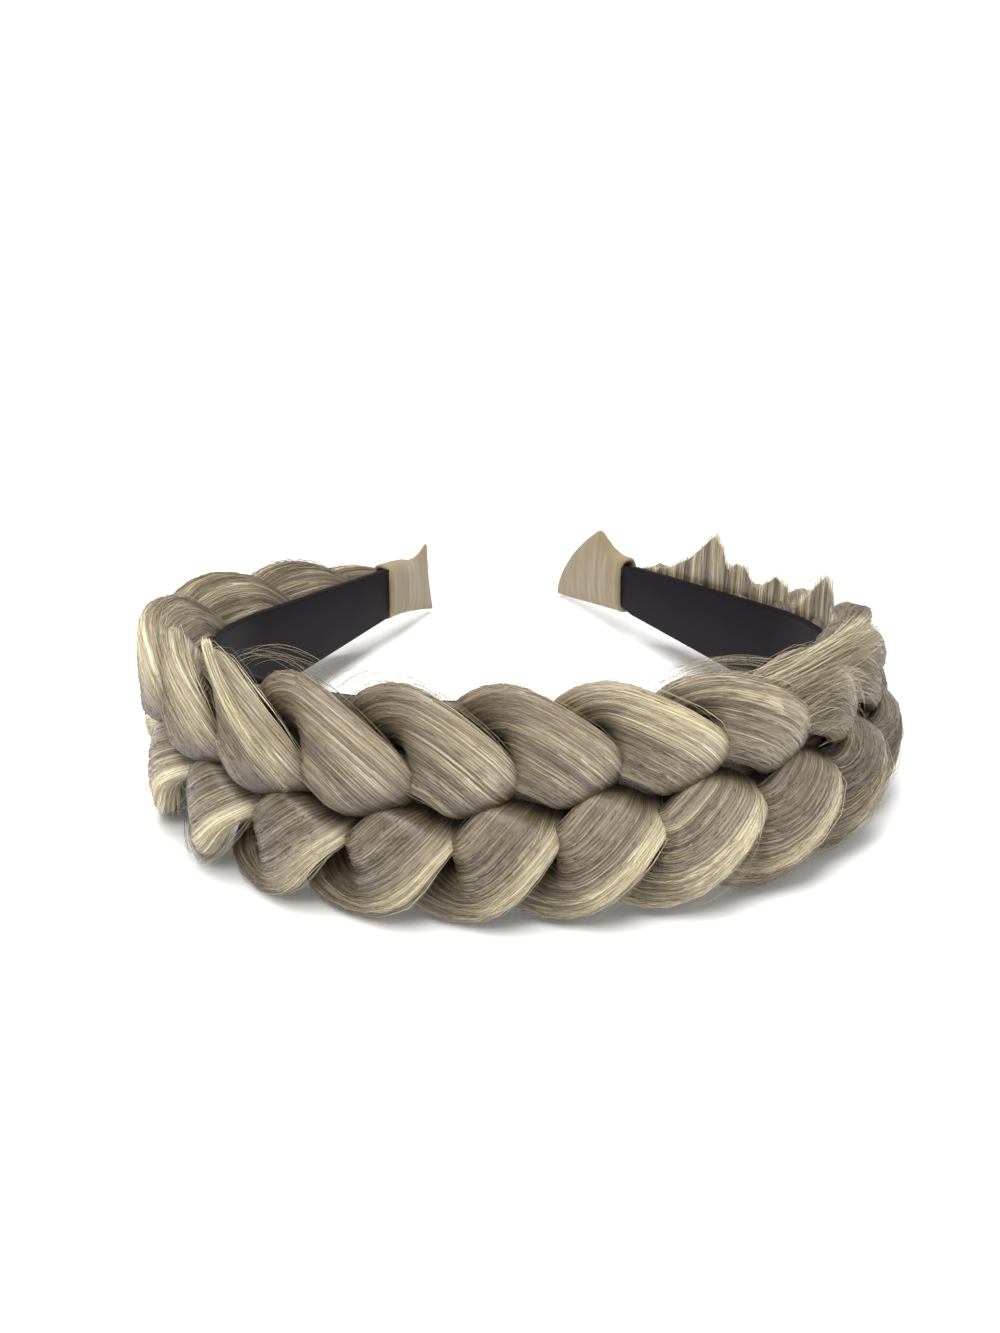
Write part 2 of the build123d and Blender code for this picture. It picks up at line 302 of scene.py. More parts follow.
@dataclass(frozen=True)
class Plait:
    """Three strands that cross on the band, as the solids have them."""

    curve: BandCurve = BandCurve()
    half_width: float = 26.0
    depth: float = 14.5
    lobe_pitch: float = 18.3
    lobe_start: float = -23.2
    clearance: float = 0.3
    overrun: float = 1.5
    pass_length: float = 1.5
    squeeze_power: float = 1.15
    # along, across, out, width, thick, roll, front
    strand_rows: Table = (
        (-0.50, 0.000, 0.200, 0.36, 0.170, 0, 0),
        (-0.30, 0.350, 0.100, 0.50, 0.180, -6, 0),
        (-0.10, 0.570, 0.325, 0.64, 0.330, -16, 0),
        (0.10, 0.630, 0.490, 0.68, 0.390, -17, 0.5),
        (0.30, 0.565, 0.690, 0.645, 0.430, -13, 1),
        (0.50, 0.390, 0.790, 0.62, 0.420, -4, 1),
        (0.70, 0.215, 0.745, 0.56, 0.360, -2, 0.5),
        (0.85, 0.115, 0.590, 0.50, 0.300, 0, 0),
    )
    # along, then in millimetres: spread of the free edge on upper and on lower lobes, rise of
    # the free edge, sinking of the inner edge, its spread on upper and on lower lobes, and how
    # far lower lobes stand out over the ends of the upper ones
    lobe_rows: Table = (
        (-0.50, 0.0, 0.0, 0.0, 0.0, 0.0, 0.0, 0.0),
        (-0.30, 0.0, 0.0, 0.0, 1.5, 1.0, 1.0, 0.0),
        (-0.10, 0.1, 0.1, 0.0, 3.6, 4.0, 4.0, 0.0),
        (0.10, -0.2, -0.2, 0.3, 4.4, 6.0, 5.2, 0.0),
        (0.30, 0.0, -0.8, 0.6, 3.4, 5.0, 4.2, 0.2),
        (0.50, 1.0, -1.5, 0.6, 1.3, 1.4, 2.4, 0.6),
        (0.70, 1.8, -1.7, 0.4, 0.0, -1.2, 3.3, 1.0),
        (0.85, 1.2, -1.3, 0.2, 0.0, -0.6, 3.3, 0.8),
        (1.00, 0.0, 0.0, 0.0, 0.0, 0.0, 0.0, 0.0),
    )
    # place, how far in millimetres the late free edge of lower lobes stands out
    fan_rows: Table = ((-0.45, -2.0), (-0.22, -1.6), (-0.05, 0.0), (0.08, 1.5), (0.60, 1.2))
    late_rise: Span = (0.2, 0.7)  # the stages over which fan and lean come in
    late_fall: Span = (0.8, 1.0)  # and go out
    upper_delay: float = 0.06  # by how many pitches the upper lobes dive later than the lower
    delay_rise: Span = (0.15, 0.6)
    delay_fall: Span = (0.85, 1.0)
    # place, lean: on one side of the crown the upper lobes run longer and end more steeply
    lean_rows: Table = ((-0.80, 0.0), (-0.45, 1.0), (-0.12, 0.8), (0.06, 0.25), (0.30, 0.0))
    lean_length: float = 4.2
    # place, how far in millimetres the upper lobes stay back behind the toothed edge
    back_rows: Table = (
        (0.36, 0.0), (0.44, 3.5), (0.53, 5.0), (0.60, 6.0), (0.87, 6.0), (0.93, 0.0)
    )
    # place, how far in millimetres the upper edge leans in over the band
    inward_rows: Table = (
        (0.22, 0.0), (0.32, 7.0), (0.38, 10.5), (0.45, 10.5), (0.51, 8.0), (0.57, 0.0)
    )
    inward_span: float = 12.0  # depth in millimetres over which that leaning comes in
    inward_start: float = 0.3  # the share of it that lies still against the band
    ease: float = 4.0  # reach in millimetres over which a strand's direction is read
    # place, pitch
    pitch_rows: Table = ((-1.05, 1.42), (-0.44, 0.96), (0.58, 0.90))
    # place, upper, lower, deep
    taper_rows: Table = (
        (-1.01, 0.155, 0.34, 0.13),
        (-0.96, 0.22, 0.46, 0.13),
        (-0.88, 0.42, 0.82, 0.58),
        (-0.75, 0.56, 0.96, 0.85),
        (-0.60, 0.70, 0.98, 1.00),
        (-0.36, 1.00, 0.98, 1.00),
        (0.00, 1.04, 0.98, 1.00),
        (0.36, 1.03, 0.91, 1.00),
        (0.50, 0.90, 0.91, 1.00),
        (0.64, 0.80, 0.95, 1.00),
        (0.75, 0.66, 0.96, 0.85),
        (0.86, 0.56, 0.84, 0.62),
        (0.96, 0.22, 0.46, 0.13),
        (1.01, 0.155, 0.34, 0.13),
    )
    # place, how far the crossings lie below the middle as a share of half_width
    sag_rows: Table = (
        (-0.60, 0.00),
        (-0.30, 0.15),
        (-0.16, 0.18),
        (-0.05, 0.12),
        (0.07, 0.00),
        (0.20, -0.06),
        (0.40, -0.07),
        (0.70, 0.00),
    )

    @property
    def reach(self) -> float:
        """Length from the crown to the hidden end of a strand."""
        return self.curve.half_length + self.overrun

    def along_band(self, rows: Table, place: np.ndarray, column: int = 1) -> np.ndarray:
        """Value from a table whose places are shares of the band's half length."""
        return from_rows(rows, place / self.curve.half_length, column)

    def taper(self, column: Taper, place: np.ndarray) -> np.ndarray:
        """One column of the table of how the braid narrows."""
        return self.along_band(self.taper_rows, place, column)

    def pitches(self, place: np.ndarray) -> np.ndarray:
        """Pitches between the first crest and each place.

        Args:
            place: Lengths along the band.

        Returns:
            Counts of pitches, negative before the first crest.
        """
        rows = np.array(self.pitch_rows)
        knots = np.append(rows[:, 0], 2) * self.curve.half_length
        counts = np.append(0, np.cumsum(np.diff(knots) / (rows[:, 1] * self.lobe_pitch)))
        return np.interp(place, knots, counts) - np.interp(self.lobe_start, knots, counts)

    def place_of(self, phase: np.ndarray) -> np.ndarray:
        """Place along the band of a number of pitches from the first crest."""
        places = np.linspace(-self.reach, self.reach, 400)
        return np.interp(phase, self.pitches(places), places)

    def pass_of(self, phase: np.ndarray) -> np.ndarray:
        """Number of the pass from edge to edge that a phase belongs to; even ones lie above."""
        return np.floor((phase - self.strand_rows[0][0]) / self.pass_length)

    def stage_of(self, strand: int, place: np.ndarray) -> np.ndarray:
        """How far into its pass a strand is, in pitches from its crest."""
        phase = self.pitches(place) - strand
        return phase - self.pass_of(phase) * self.pass_length

    def side_of(self, strand: int, place: np.ndarray) -> np.ndarray:
        """1 where a strand is in an upper lobe, and -1 where it is in a lower one."""
        return np.where(self.pass_of(self.pitches(place) - strand) % 2 == 0, 1.0, -1.0)

    def value(self, column: Row, phase: np.ndarray) -> np.ndarray:
        """Smooth value of one column of the strand's table; across changes sides each pass.

        Args:
            column: The column.
            phase: Pitches from the strand's first crest.

        Returns:
            One value for each phase.
        """
        rows = np.array(self.strand_rows)
        flip = -1 if column == Row.ACROSS else 1
        laps = (-1, 0, 1)
        knots = np.concatenate([rows[:, 0] + lap * self.pass_length for lap in laps])
        values = np.concatenate([rows[:, column] * flip**lap for lap in laps])
        slopes = np.zeros(len(knots))
        slopes[1:-1] = (values[2:] - values[:-2]) / (knots[2:] - knots[:-2])
        number = self.pass_of(phase)
        within = phase - number * self.pass_length
        delay = self.upper_delay * window(self.delay_rise, self.delay_fall, within)
        result = curve_through(knots, values, slopes, within - delay * (number % 2 == 0))
        return result * np.where(number % 2 == 0, 1, flip)

    def edges(self, place: np.ndarray) -> tuple[np.ndarray, np.ndarray]:
        """How far the braid reaches above and below the band's middle.

        Args:
            place: Lengths along the band.

        Returns:
            Heights and depths in millimetres.
        """
        upper = self.taper(Taper.UPPER, place) * self.half_width
        lower = self.taper(Taper.LOWER, place) * self.curve.middle(self.curve.plan(place)[1])
        return upper, lower

    def centre(self, strand: int, place: np.ndarray) -> np.ndarray:
        """Middle of a strand: along, across and out.

        Args:
            strand: Number of the strand.
            place: Lengths along the band.

        Returns:
            One row for each place, in millimetres.
        """
        phase = self.pitches(place) - strand
        share = self.value(Row.ACROSS, phase)
        upper, lower = self.edges(place)
        back = self.curve.band_thickness + self.clearance
        out = back + self.value(Row.OUT, phase) * self.taper(Taper.DEEP, place) * self.depth
        return np.stack([place, share * np.where(share > 0, upper, lower), out], -1)

    def section(self, strand: int, place: np.ndarray) -> tuple[np.ndarray, ...]:
        """Frame and size of a strand's oval section.

        Args:
            strand: Number of the strand, 0 to 2.
            place: Lengths along the band.

        Returns:
            Centre, wide axis, thick axis, half width and half thickness; wide points upwards.
        """
        phase = self.pitches(place) - strand
        centre = self.centre(strand, place)
        run = unit(self.centre(strand, place + self.ease) - self.centre(strand, place - self.ease))
        normal = unit(np.array([0.0, 0.0, 1.0]) - run[:, 2:3] * run)
        across = np.cross(run, normal)
        side = self.side_of(strand, place)
        across *= np.where(across[:, 1] * side < 0, -1.0, 1.0)[:, None]
        roll = np.radians(self.value(Row.ROLL, phase))[:, None]
        wide_axis = (across * np.cos(roll) - normal * np.sin(roll)) * side[:, None]
        thick_axis = normal * np.cos(roll) + across * np.sin(roll)
        upper, lower = self.edges(place)
        squeeze = ((upper + lower) / (2 * self.half_width)) ** self.squeeze_power
        half = self.lobe_pitch / 2
        pitch = 1 / (self.pitches(place + half) - self.pitches(place - half))
        squeeze *= 1 + (pitch - 1) * self.value(Row.FRONT, phase)
        half_wide = self.value(Row.WIDTH, phase) * self.half_width * squeeze / 2
        half_thick = self.value(Row.THICK, phase) * self.depth * self.taper(Taper.DEEP, place) / 2
        return centre, wide_axis, thick_axis, half_wide, half_thick

    def surface(
        self, strand: int, place: np.ndarray, round_share: np.ndarray, lift: np.ndarray
    ) -> np.ndarray:
        """Points on a strand's skin or above it.

        Args:
            strand: Number of the strand.
            place: Lengths along the band.
            round_share: Share of the way round the strand from its upper edge, front first.
            lift: Height above the oval in millimetres.

        Returns:
            Row-frame points in metres, in the shape of the places.
        """
        shape = np.shape(place)
        place, round_share, lift = (np.ravel(v) for v in (place, round_share, lift))
        centre, wide_axis, thick_axis, half_wide, half_thick = self.section(strand, place)
        angle = np.interp(np.mod(round_share, 1), OVAL_SHARES, OVAL_ANGLES)
        cosine, sine = np.cos(angle), np.sin(angle)
        normal = unit(np.stack([cosine / half_wide, sine / half_thick], -1))
        side = self.side_of(strand, place)
        form = self.lobe_form(strand, place)
        upper_spread, lower_spread, rise, sink, upper_fill, lower_fill, stand = form
        fill = np.where(side > 0, upper_fill, lower_fill)
        late = window(self.late_rise, self.late_fall, self.stage_of(strand, place))
        back = self.along_band(self.back_rows, place)
        fan = self.along_band(self.fan_rows, place) * late
        spread = np.where(side > 0, upper_spread - back, lower_spread + fan)
        free = (1 + side * cosine) / 2
        wide = half_wide * cosine + lift * normal[:, 0]
        wide += side * (spread * free**2 - fill * (1 - free) ** 2)
        thick = half_thick * sine + lift * normal[:, 1] + rise * free**2 - sink * (1 - free) ** 2
        thick += np.where(side < 0, stand, 0)
        points = centre + wide[:, None] * wide_axis + thick[:, None] * thick_axis
        # The inner edge of an upper lobe's end runs ahead
        lead = self.lean_length * self.along_band(self.lean_rows, place) * late * (side > 0)
        points += (lead * (1 - free))[:, None] * np.cross(thick_axis, wide_axis)
        along, across, out = points.T
        drop = self.along_band(self.sag_rows, along) * self.half_width
        across = across - drop * np.clip(1 - (across / self.half_width) ** 2, 0, 1)
        inward = self.along_band(self.inward_rows, along) * np.clip(across / self.half_width, 0, 1)
        out = out - inward * np.clip(out / self.inward_span - self.inward_start, 0, 1)
        return self.curve.world(along, across, out).reshape(*shape, 3)

    def lobe_form(self, strand: int, place: np.ndarray) -> list[np.ndarray]:
        """The columns of the table of lobes at each place, flatter towards the tips.

        Args:
            strand: Number of the strand.
            place: Lengths along the band.

        Returns:
            One array for each column, in the table's order.
        """
        stage = self.stage_of(strand, place)
        knots, *columns = np.array(self.lobe_rows).T
        deep = self.taper(Taper.DEEP, place)
        return [deep * curve_through(knots, v, np.gradient(v, knots), stage) for v in columns]


@dataclass(frozen=True)
class Locks:
    """How hair lies in locks: broad ones, and finer ones on them."""

    broad_count: int = 11
    fine_count: int = 29
    broad_height: float = 0.20
    fine_height: float = 0.11
    roundness: float = 0.6
    # how broad and fine locks wander: reach in locks, rate for each millimetre, shift
    broad_drift: Table = ((0.30, 1 / 9.1, 1.0), (0.22, 1 / 4.3, 2.1))
    fine_drift: Table = ((0.5, 1 / 5.7, 1.3), (0.3, 1 / 2.9, 1.0))
    middle_tone: float = 0.46
    broad_tone: float = 0.07
    fine_tone: float = 0.06
    broad_run: float = 17.0  # millimetres over which a lock's tone changes
    fine_run: float = 8.0

    def lanes(
        self, strand: int, place: np.ndarray, round_share: np.ndarray
    ) -> tuple[np.ndarray, np.ndarray]:
        """Position of each point counted in broad and in fine locks.

        Args:
            strand: Number of the strand.
            place: Lengths along the band.
            round_share: Shares of the way round the strand.

        Returns:
            Broad and fine positions.
        """
        turn = np.mod(round_share, 1)
        fade = np.sin(math.pi * turn) ** 0.5  # no wandering across the seam at the upper edge
        broad = self.broad_count * turn + waves(self.broad_drift, place, strand) * fade
        return broad, self.fine_count * turn + waves(self.fine_drift, place, strand) * fade

    def lift(self, strand: int, place: np.ndarray, round_share: np.ndarray) -> np.ndarray:
        """Height of the hair over the strand's oval, in millimetres.

        Args:
            strand: Number of the strand.
            place: Lengths along the band.
            round_share: Shares of the way round the strand.

        Returns:
            One height for each point.
        """
        broad, fine = self.lanes(strand, place, round_share)
        high = self.broad_height * (1 + scatter(np.floor(broad), strand + 1.0)) / 2
        result = high * np.abs(np.sin(math.pi * broad)) ** self.roundness
        return result + self.fine_height * np.abs(np.sin(math.pi * fine))

    def tone(self, strand: int, place: np.ndarray, round_share: np.ndarray) -> np.ndarray:
        """How light each point's lock is, from about 0 to 1.

        Args:
            strand: Number of the strand.
            place: Lengths along the band.
            round_share: Shares of the way round the strand.

        Returns:
            One tone for each point.
        """
        broad, fine = (np.floor(lane) for lane in self.lanes(strand, place, round_share))
        slow = np.sin(place / self.broad_run + FULL_TURN * scatter(broad, strand + 5.0))
        quick = np.sin(place / self.fine_run + FULL_TURN * scatter(fine, strand + 9.0))
        return self.middle_tone + self.broad_tone * slow + self.fine_tone * quick


MIX_INPUTS = (0, 6, 7)  # factor and the two colours, of a Mix node's numbered sockets
MIX_OUTPUT = 2
NOISE_ROUGHNESS = 0.6


class Graph:
    """Adds nodes to the tree of a material or a node group, and joins them."""

    def __init__(self, tree: bpy.types.NodeTree) -> None:
        """Keeps the tree."""
        self.tree = tree

    def join(self, node: bpy.types.Node, inputs: dict) -> None:
        """Feeds a node's inputs with values or with outputs of other nodes.

        Args:
            node: The node.
            inputs: Values or outputs by input name or number.
        """
        for key, value in inputs.items():
            if isinstance(value, Socket):
                self.tree.links.new(value, node.inputs[key])
            else:
                node.inputs[key].default_value = value

    def add(self, kind: str, inputs: dict | None = None, **settings: object) -> bpy.types.Node:
        """Adds a node.

        Args:
            kind: Name of the node type.
            inputs: Values or outputs of other nodes, by input name or number.
            **settings: Properties of the node.

        Returns:
            The new node.
        """
        node = self.tree.nodes.new(kind)
        for key, value in settings.items():
            setattr(node, key, value)
        self.join(node, inputs or {})
        return node

    def maths(self, operation: str, *values: Socket | float, clamp: bool = False) -> Socket:
        """Output of a Math node on one to three values or sockets."""
        inputs = dict(enumerate(values))
        return self.add("ShaderNodeMath", inputs, operation=operation, use_clamp=clamp).outputs[0]

    def ramp(self, factor: Socket, stops: tuple) -> Socket:
        """Colour read from stops of place and colour.

        Args:
            factor: Where the ramp is read.
            stops: Pairs of place and colour.

        Returns:
            The colour.
        """
        node = self.add("ShaderNodeValToRGB", {"Fac": factor})
        elements = node.color_ramp.elements
        while len(elements) < len(stops):
            elements.new(0.5)
        for element, (place, colour) in zip(elements, stops):
            element.position = place
            element.color = (*colour, 1)
        return node.outputs["Color"]

    def mix(
        self, factor: Socket | float, first: object, second: object, blend: str = "MIX"
    ) -> Socket:
        """Colour between two colours.

        Args:
            factor: Share of the second.
            first: An output or a plain colour.
            second: An output or a plain colour.
            blend: How they are put together.

        Returns:
            The colour.
        """
        node = self.add("ShaderNodeMix", data_type="RGBA", blend_type=blend)
        first, second = ((*c, 1) if isinstance(c, tuple) else c for c in (first, second))
        self.join(node, dict(zip(MIX_INPUTS, (factor, first, second))))
        return node.outputs[MIX_OUTPUT]

    def noise(self, vector: Socket, scale: float | tuple, detail: float) -> Socket:
        """Soft noise from 0 to 1.

        Args:
            vector: Coordinates.
            scale: One scale, or one for each axis.
            detail: How many finer layers it has.

        Returns:
            The noise.
        """
        if isinstance(scale, tuple):
            mapping = self.add("ShaderNodeMapping", {"Vector": vector, "Scale": scale})
            vector, scale = mapping.outputs["Vector"], 1.0
        inputs = {"Vector": vector, "Scale": scale, "Detail": detail}
        inputs["Roughness"] = NOISE_ROUGHNESS
        return self.add("ShaderNodeTexNoise", inputs).outputs["Fac"]

    def bump(self, height: Socket, reach: float, strength: float = 1.0) -> Socket:
        """Normal of a fine relief whose reach is in millimetres."""
        inputs = {"Height": height, "Distance": reach * MM, "Strength": strength}
        return self.add("ShaderNodeBump", inputs).outputs["Normal"]


def new_group(name: str, inputs: tuple[str, ...], outputs: tuple[tuple[str, str], ...]) -> tuple:
    """Starts a shader node group.

    Args:
        name: Name of the group.
        inputs: Names of its number inputs; the first socket is always a vector.
        outputs: Names and socket types of what it puts out.

    Returns:
        Its graph, its input node and its output node.
    """
    tree = bpy.data.node_groups.new(name, "ShaderNodeTree")
    tree.interface.new_socket("Vector", in_out="INPUT", socket_type="NodeSocketVector")
    for title in inputs:
        tree.interface.new_socket(title, in_out="INPUT", socket_type="NodeSocketFloat")
    for title, kind in outputs:
        tree.interface.new_socket(title, in_out="OUTPUT", socket_type=kind)
    graph = Graph(tree)
    return graph, graph.add("NodeGroupInput"), graph.add("NodeGroupOutput")


def new_material(name: str, values: dict[str, float]) -> tuple:
    """Starts a material.

    Args:
        name: Name of the material.
        values: Plain values of the shader's own sockets.

    Returns:
        The material, its graph and its shader.
    """
    material = bpy.data.materials.new(name)
    material.use_nodes = True
    graph = Graph(material.node_tree)
    shader = graph.tree.nodes["Principled BSDF"]
    graph.join(shader, values)
    return material, graph, shader


HAIR_STOPS = (
    (0.00, (0.036, 0.023, 0.012)),
    (0.25, (0.092, 0.065, 0.039)),
    (0.50, (0.193, 0.152, 0.098)),
    (0.75, (0.390, 0.326, 0.206)),
    (1.00, (0.815, 0.732, 0.492)),
)
# scale across, along and through the hair for each millimetre, then the detail
FINE_STREAKS = ((5.0, 0.06, 1.0), 3.0)
BROAD_STREAKS = ((1.9, 0.05, 1.0), 2.0)
TINT_STREAKS = ((0.55, 0.03, 1.0), 1.0)
ASH_TINT = (0.97, 0.97, 1.07)
ASH_RANGE = (3.2, -1.45)  # makes soft noise a mask of ash-coloured bundles
# Painted shade: how much darker the hair is painted where it lies deep
TUCK_SHADE = 0.55  # how much darker hair is where it lies deep


def hair_streaks() -> bpy.types.NodeTree:
    """Group for streaked hair: colour, with painted shade where the hair lies deep, and fine
    relief from coordinates in millimetres.

    Returns:
        The group.
    """
    outputs = (("Colour", "NodeSocketColor"), ("Height", "NodeSocketFloat"))
    graph, source, target = new_group("hair_streaks", ("Tone", "Crease_shade", "Contrast"), outputs)
    vector, tone, crease_shade, contrast = (source.outputs[number] for number in range(4))
    fine = graph.noise(vector, *FINE_STREAKS)
    broad = graph.noise(vector, *BROAD_STREAKS)
    spread = graph.maths("SUBTRACT", graph.maths("ADD", fine, broad), 1.0)
    value = graph.maths("MULTIPLY_ADD", spread, contrast, tone)
    # Painted shade: the tone is lowered where the hair lies deep
    shade = graph.maths("MULTIPLY", crease_shade, TUCK_SHADE)
    colour = graph.ramp(graph.maths("SUBTRACT", value, shade, clamp=True), HAIR_STOPS)
    tint = graph.noise(vector, *TINT_STREAKS)
    ash = graph.maths("MULTIPLY_ADD", tint, *ASH_RANGE, clamp=True)
    ashen = graph.mix(1.0, colour, ASH_TINT, "MULTIPLY")
    graph.join(target, {"Colour": graph.mix(ash, colour, ashen), "Height": fine})
    return graph.tree


@dataclass(frozen=True)
class HairFinish:
    """Glossy ash-blonde fibre, streaked along the hair."""

    name: str
    contrast: float
    relief: float  # millimetres
    roughness: float = 0.36
    anisotropy: float = 0.75
    specular: float = 0.65

    def build(self, streaks: bpy.types.NodeTree) -> Material:
        """Makes the material.

        Args:
            streaks: The shared group of streaks.

        Returns:
            The material.
        """
        values = {
            "Roughness": self.roughness,
            "Anisotropic": self.anisotropy,
            "Specular IOR Level": self.specular,
        }
        material, graph, shader = new_material(self.name, values)
        uv = graph.add("ShaderNodeUVMap", uv_map=FLOW).outputs["UV"]
        inputs = {"Vector": uv, "Contrast": self.contrast}
        # Tone, and the strength of the painted shade, come from named numbers on the vertices
        for title in ("Tone", "Crease_shade"):
            number = graph.add("ShaderNodeAttribute", attribute_name=title.lower())
            inputs[title] = number.outputs["Fac"]
        group = graph.add("ShaderNodeGroup", inputs, node_tree=streaks)
        across = graph.add("ShaderNodeTangent", direction_type="UV_MAP", uv_map=FLOW)
        look = {
            "Base Color": group.outputs["Colour"],
            "Tangent": across.outputs["Tangent"],
            "Normal": graph.bump(group.outputs["Height"], self.relief),
        }
        graph.join(shader, look)
        return material


@dataclass(frozen=True)
class BandFinish:
    """Near-black plastic with a satin sheen and a fine grain."""

    name: str = "satin_band"
    colour: Triple = (0.0055, 0.0044, 0.0058)
    worn: Triple = (0.0105, 0.0084, 0.0108)
    cloud_scale: float = 60.0
    grain_scale: float = 2600.0
    grain_height: float = 0.02  # millimetres
    grain_strength: float = 0.5
    roughness: float = 0.40
    rough_range: float = 0.16
    specular: float = 0.04

    def build(self) -> Material:
        """Makes the material.

        Returns:
            The material.
        """
        material, graph, shader = new_material(self.name, {"Specular IOR Level": self.specular})
        place = graph.add("ShaderNodeTexCoord").outputs["Object"]
        cloud = graph.noise(place, self.cloud_scale, 3.0)
        grain = graph.noise(place, self.grain_scale, 2.0)
        look = {
            "Base Color": graph.mix(cloud, self.colour, self.worn),
            "Roughness": graph.maths("MULTIPLY_ADD", cloud, self.rough_range, self.roughness),
            "Normal": graph.bump(grain, self.grain_height, self.grain_strength),
        }
        graph.join(shader, look)
        return material


@dataclass(frozen=True)
class ClothFinish:
    """Thin beige woven cloth."""

    name: str = "beige_cloth"
    colour: Triple = (0.178, 0.128, 0.058)
    faded: Triple = (0.235, 0.175, 0.083)
    thread: float = 0.32  # millimetres from thread to thread
    weave_fade: float = 0.12
    slub_scale: Triple = (0.4, 3.0, 1.0)
    slub_height: float = 0.8  # as a share of the weave's
    cloud_scale: float = 0.35
    relief: float = 0.05  # millimetres
    relief_strength: float = 0.6
    roughness: float = 0.88
    sheen: float = 0.35
    sheen_roughness: float = 0.5

    def build(self) -> Material:
        """Makes the material.

        Returns:
            The material.
        """
        values = {
            "Roughness": self.roughness,
            "Sheen Weight": self.sheen,
            "Sheen Roughness": self.sheen_roughness,
        }
        material, graph, shader = new_material(self.name, values)
        uv = graph.add("ShaderNodeUVMap", uv_map=FLOW).outputs["UV"]
        parts = graph.add("ShaderNodeSeparateXYZ", {"Vector": uv})
        threads = []
        for axis in ("X", "Y"):
            turn = graph.maths("MULTIPLY", parts.outputs[axis], math.pi / self.thread)
            threads.append(graph.maths("SINE", turn))
        weave = graph.maths("MULTIPLY", *threads)
        slub = graph.noise(uv, self.slub_scale, 2.0)
        cloud = graph.noise(uv, self.cloud_scale, 2.0)
        fade = graph.maths("MULTIPLY_ADD", weave, self.weave_fade, cloud)
        height = graph.maths("MULTIPLY_ADD", slub, self.slub_height, weave)
        look = {
            "Base Color": graph.mix(fade, self.colour, self.faded),
            "Normal": graph.bump(height, self.relief, self.relief_strength),
        }
        graph.join(shader, look)
        return material


def add_values(mesh: bpy.types.Mesh, name: str, values: np.ndarray) -> None:
    """Gives each vertex of a mesh a named number."""
    layer = mesh.attributes.new(name, "FLOAT", "POINT")
    layer.data.foreach_set("value", np.ravel(values).astype(np.float32))


def add_flow(mesh: bpy.types.Mesh, flow: np.ndarray) -> None:
    """Gives a mesh a UV map from one pair of coordinates for each vertex.

    Args:
        mesh: The mesh.
        flow: Coordinates in millimetres, across and along.
    """
    corners = np.empty(len(mesh.loops), np.int32)
    mesh.loops.foreach_get("vertex_index", corners)
    layer = mesh.uv_layers.new(name=FLOW)
    layer.data.foreach_set("uv", np.ravel(flow[corners]).astype(np.float32))


def add_object(name: str, data: bpy.types.ID) -> Piece:
    """Puts a new object with the given data into the scene.

    Args:
        name: Its name.
        data: Its mesh, camera or light.

    Returns:
        The object.
    """
    thing = bpy.data.objects.new(name, data)
    bpy.context.scene.collection.objects.link(thing)
    return thing


def dress(mesh: bpy.types.Mesh, finish: Material) -> Piece:
    """Makes a mesh a smooth piece that rides on the headband.

    Args:
        mesh: Mesh in metres, in place, with the piece's name.
        finish: Its material.

    Returns:
        The piece.
    """
    mesh.polygons.foreach_set("use_smooth", np.ones(len(mesh.polygons), bool))
    mesh.materials.append(finish)
    piece = add_object(mesh.name, mesh)
    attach(piece, BODY)
    LOG.info("%s: %d triangles", mesh.name, sum(len(face.vertices) - 2 for face in mesh.polygons))
    return piece


def tube_piece(
    name: str, rings: int, sides: int, shape: Callable, finish: Material
) -> Piece:
    """Piece in the form of a tube with closed ends, rolled from a grid.

    Args:
        name: Name of the piece.
        rings: Rows of faces along the tube.
        sides: Faces round it.
        shape: Takes the shares along and round of all vertices and returns their points, their
            flow coordinates and a dictionary of named numbers.
        finish: Its material.

    Returns:
        The piece, with its seam joined and its faces outwards.
    """
    mesh = bpy.data.meshes.new(name)
    work = bmesh.new()
    bmesh.ops.create_grid(work, x_segments=rings, y_segments=sides, size=0.5)
    work.to_mesh(mesh)
    work.free()
    flat = np.empty(len(mesh.vertices) * 3, np.float32)
    mesh.vertices.foreach_get("co", flat)
    shares = flat.reshape(-1, 3)[:, :2].astype(float) + 0.5
    points, flow, values = shape(shares[:, 0], shares[:, 1])
    mesh.vertices.foreach_set("co", np.ravel(points).astype(np.float32))
    add_flow(mesh, flow)
    for key, numbers in values.items():
        add_values(mesh, key, numbers)
    work = bmesh.new()
    work.from_mesh(mesh)
    bmesh.ops.remove_doubles(work, verts=work.verts, dist=SEAM_REACH)
    bmesh.ops.holes_fill(work, edges=[edge for edge in work.edges if edge.is_boundary], sides=0)
    bmesh.ops.recalc_face_normals(work, faces=work.faces)
    work.to_mesh(mesh)
    work.free()
    return dress(mesh, finish)


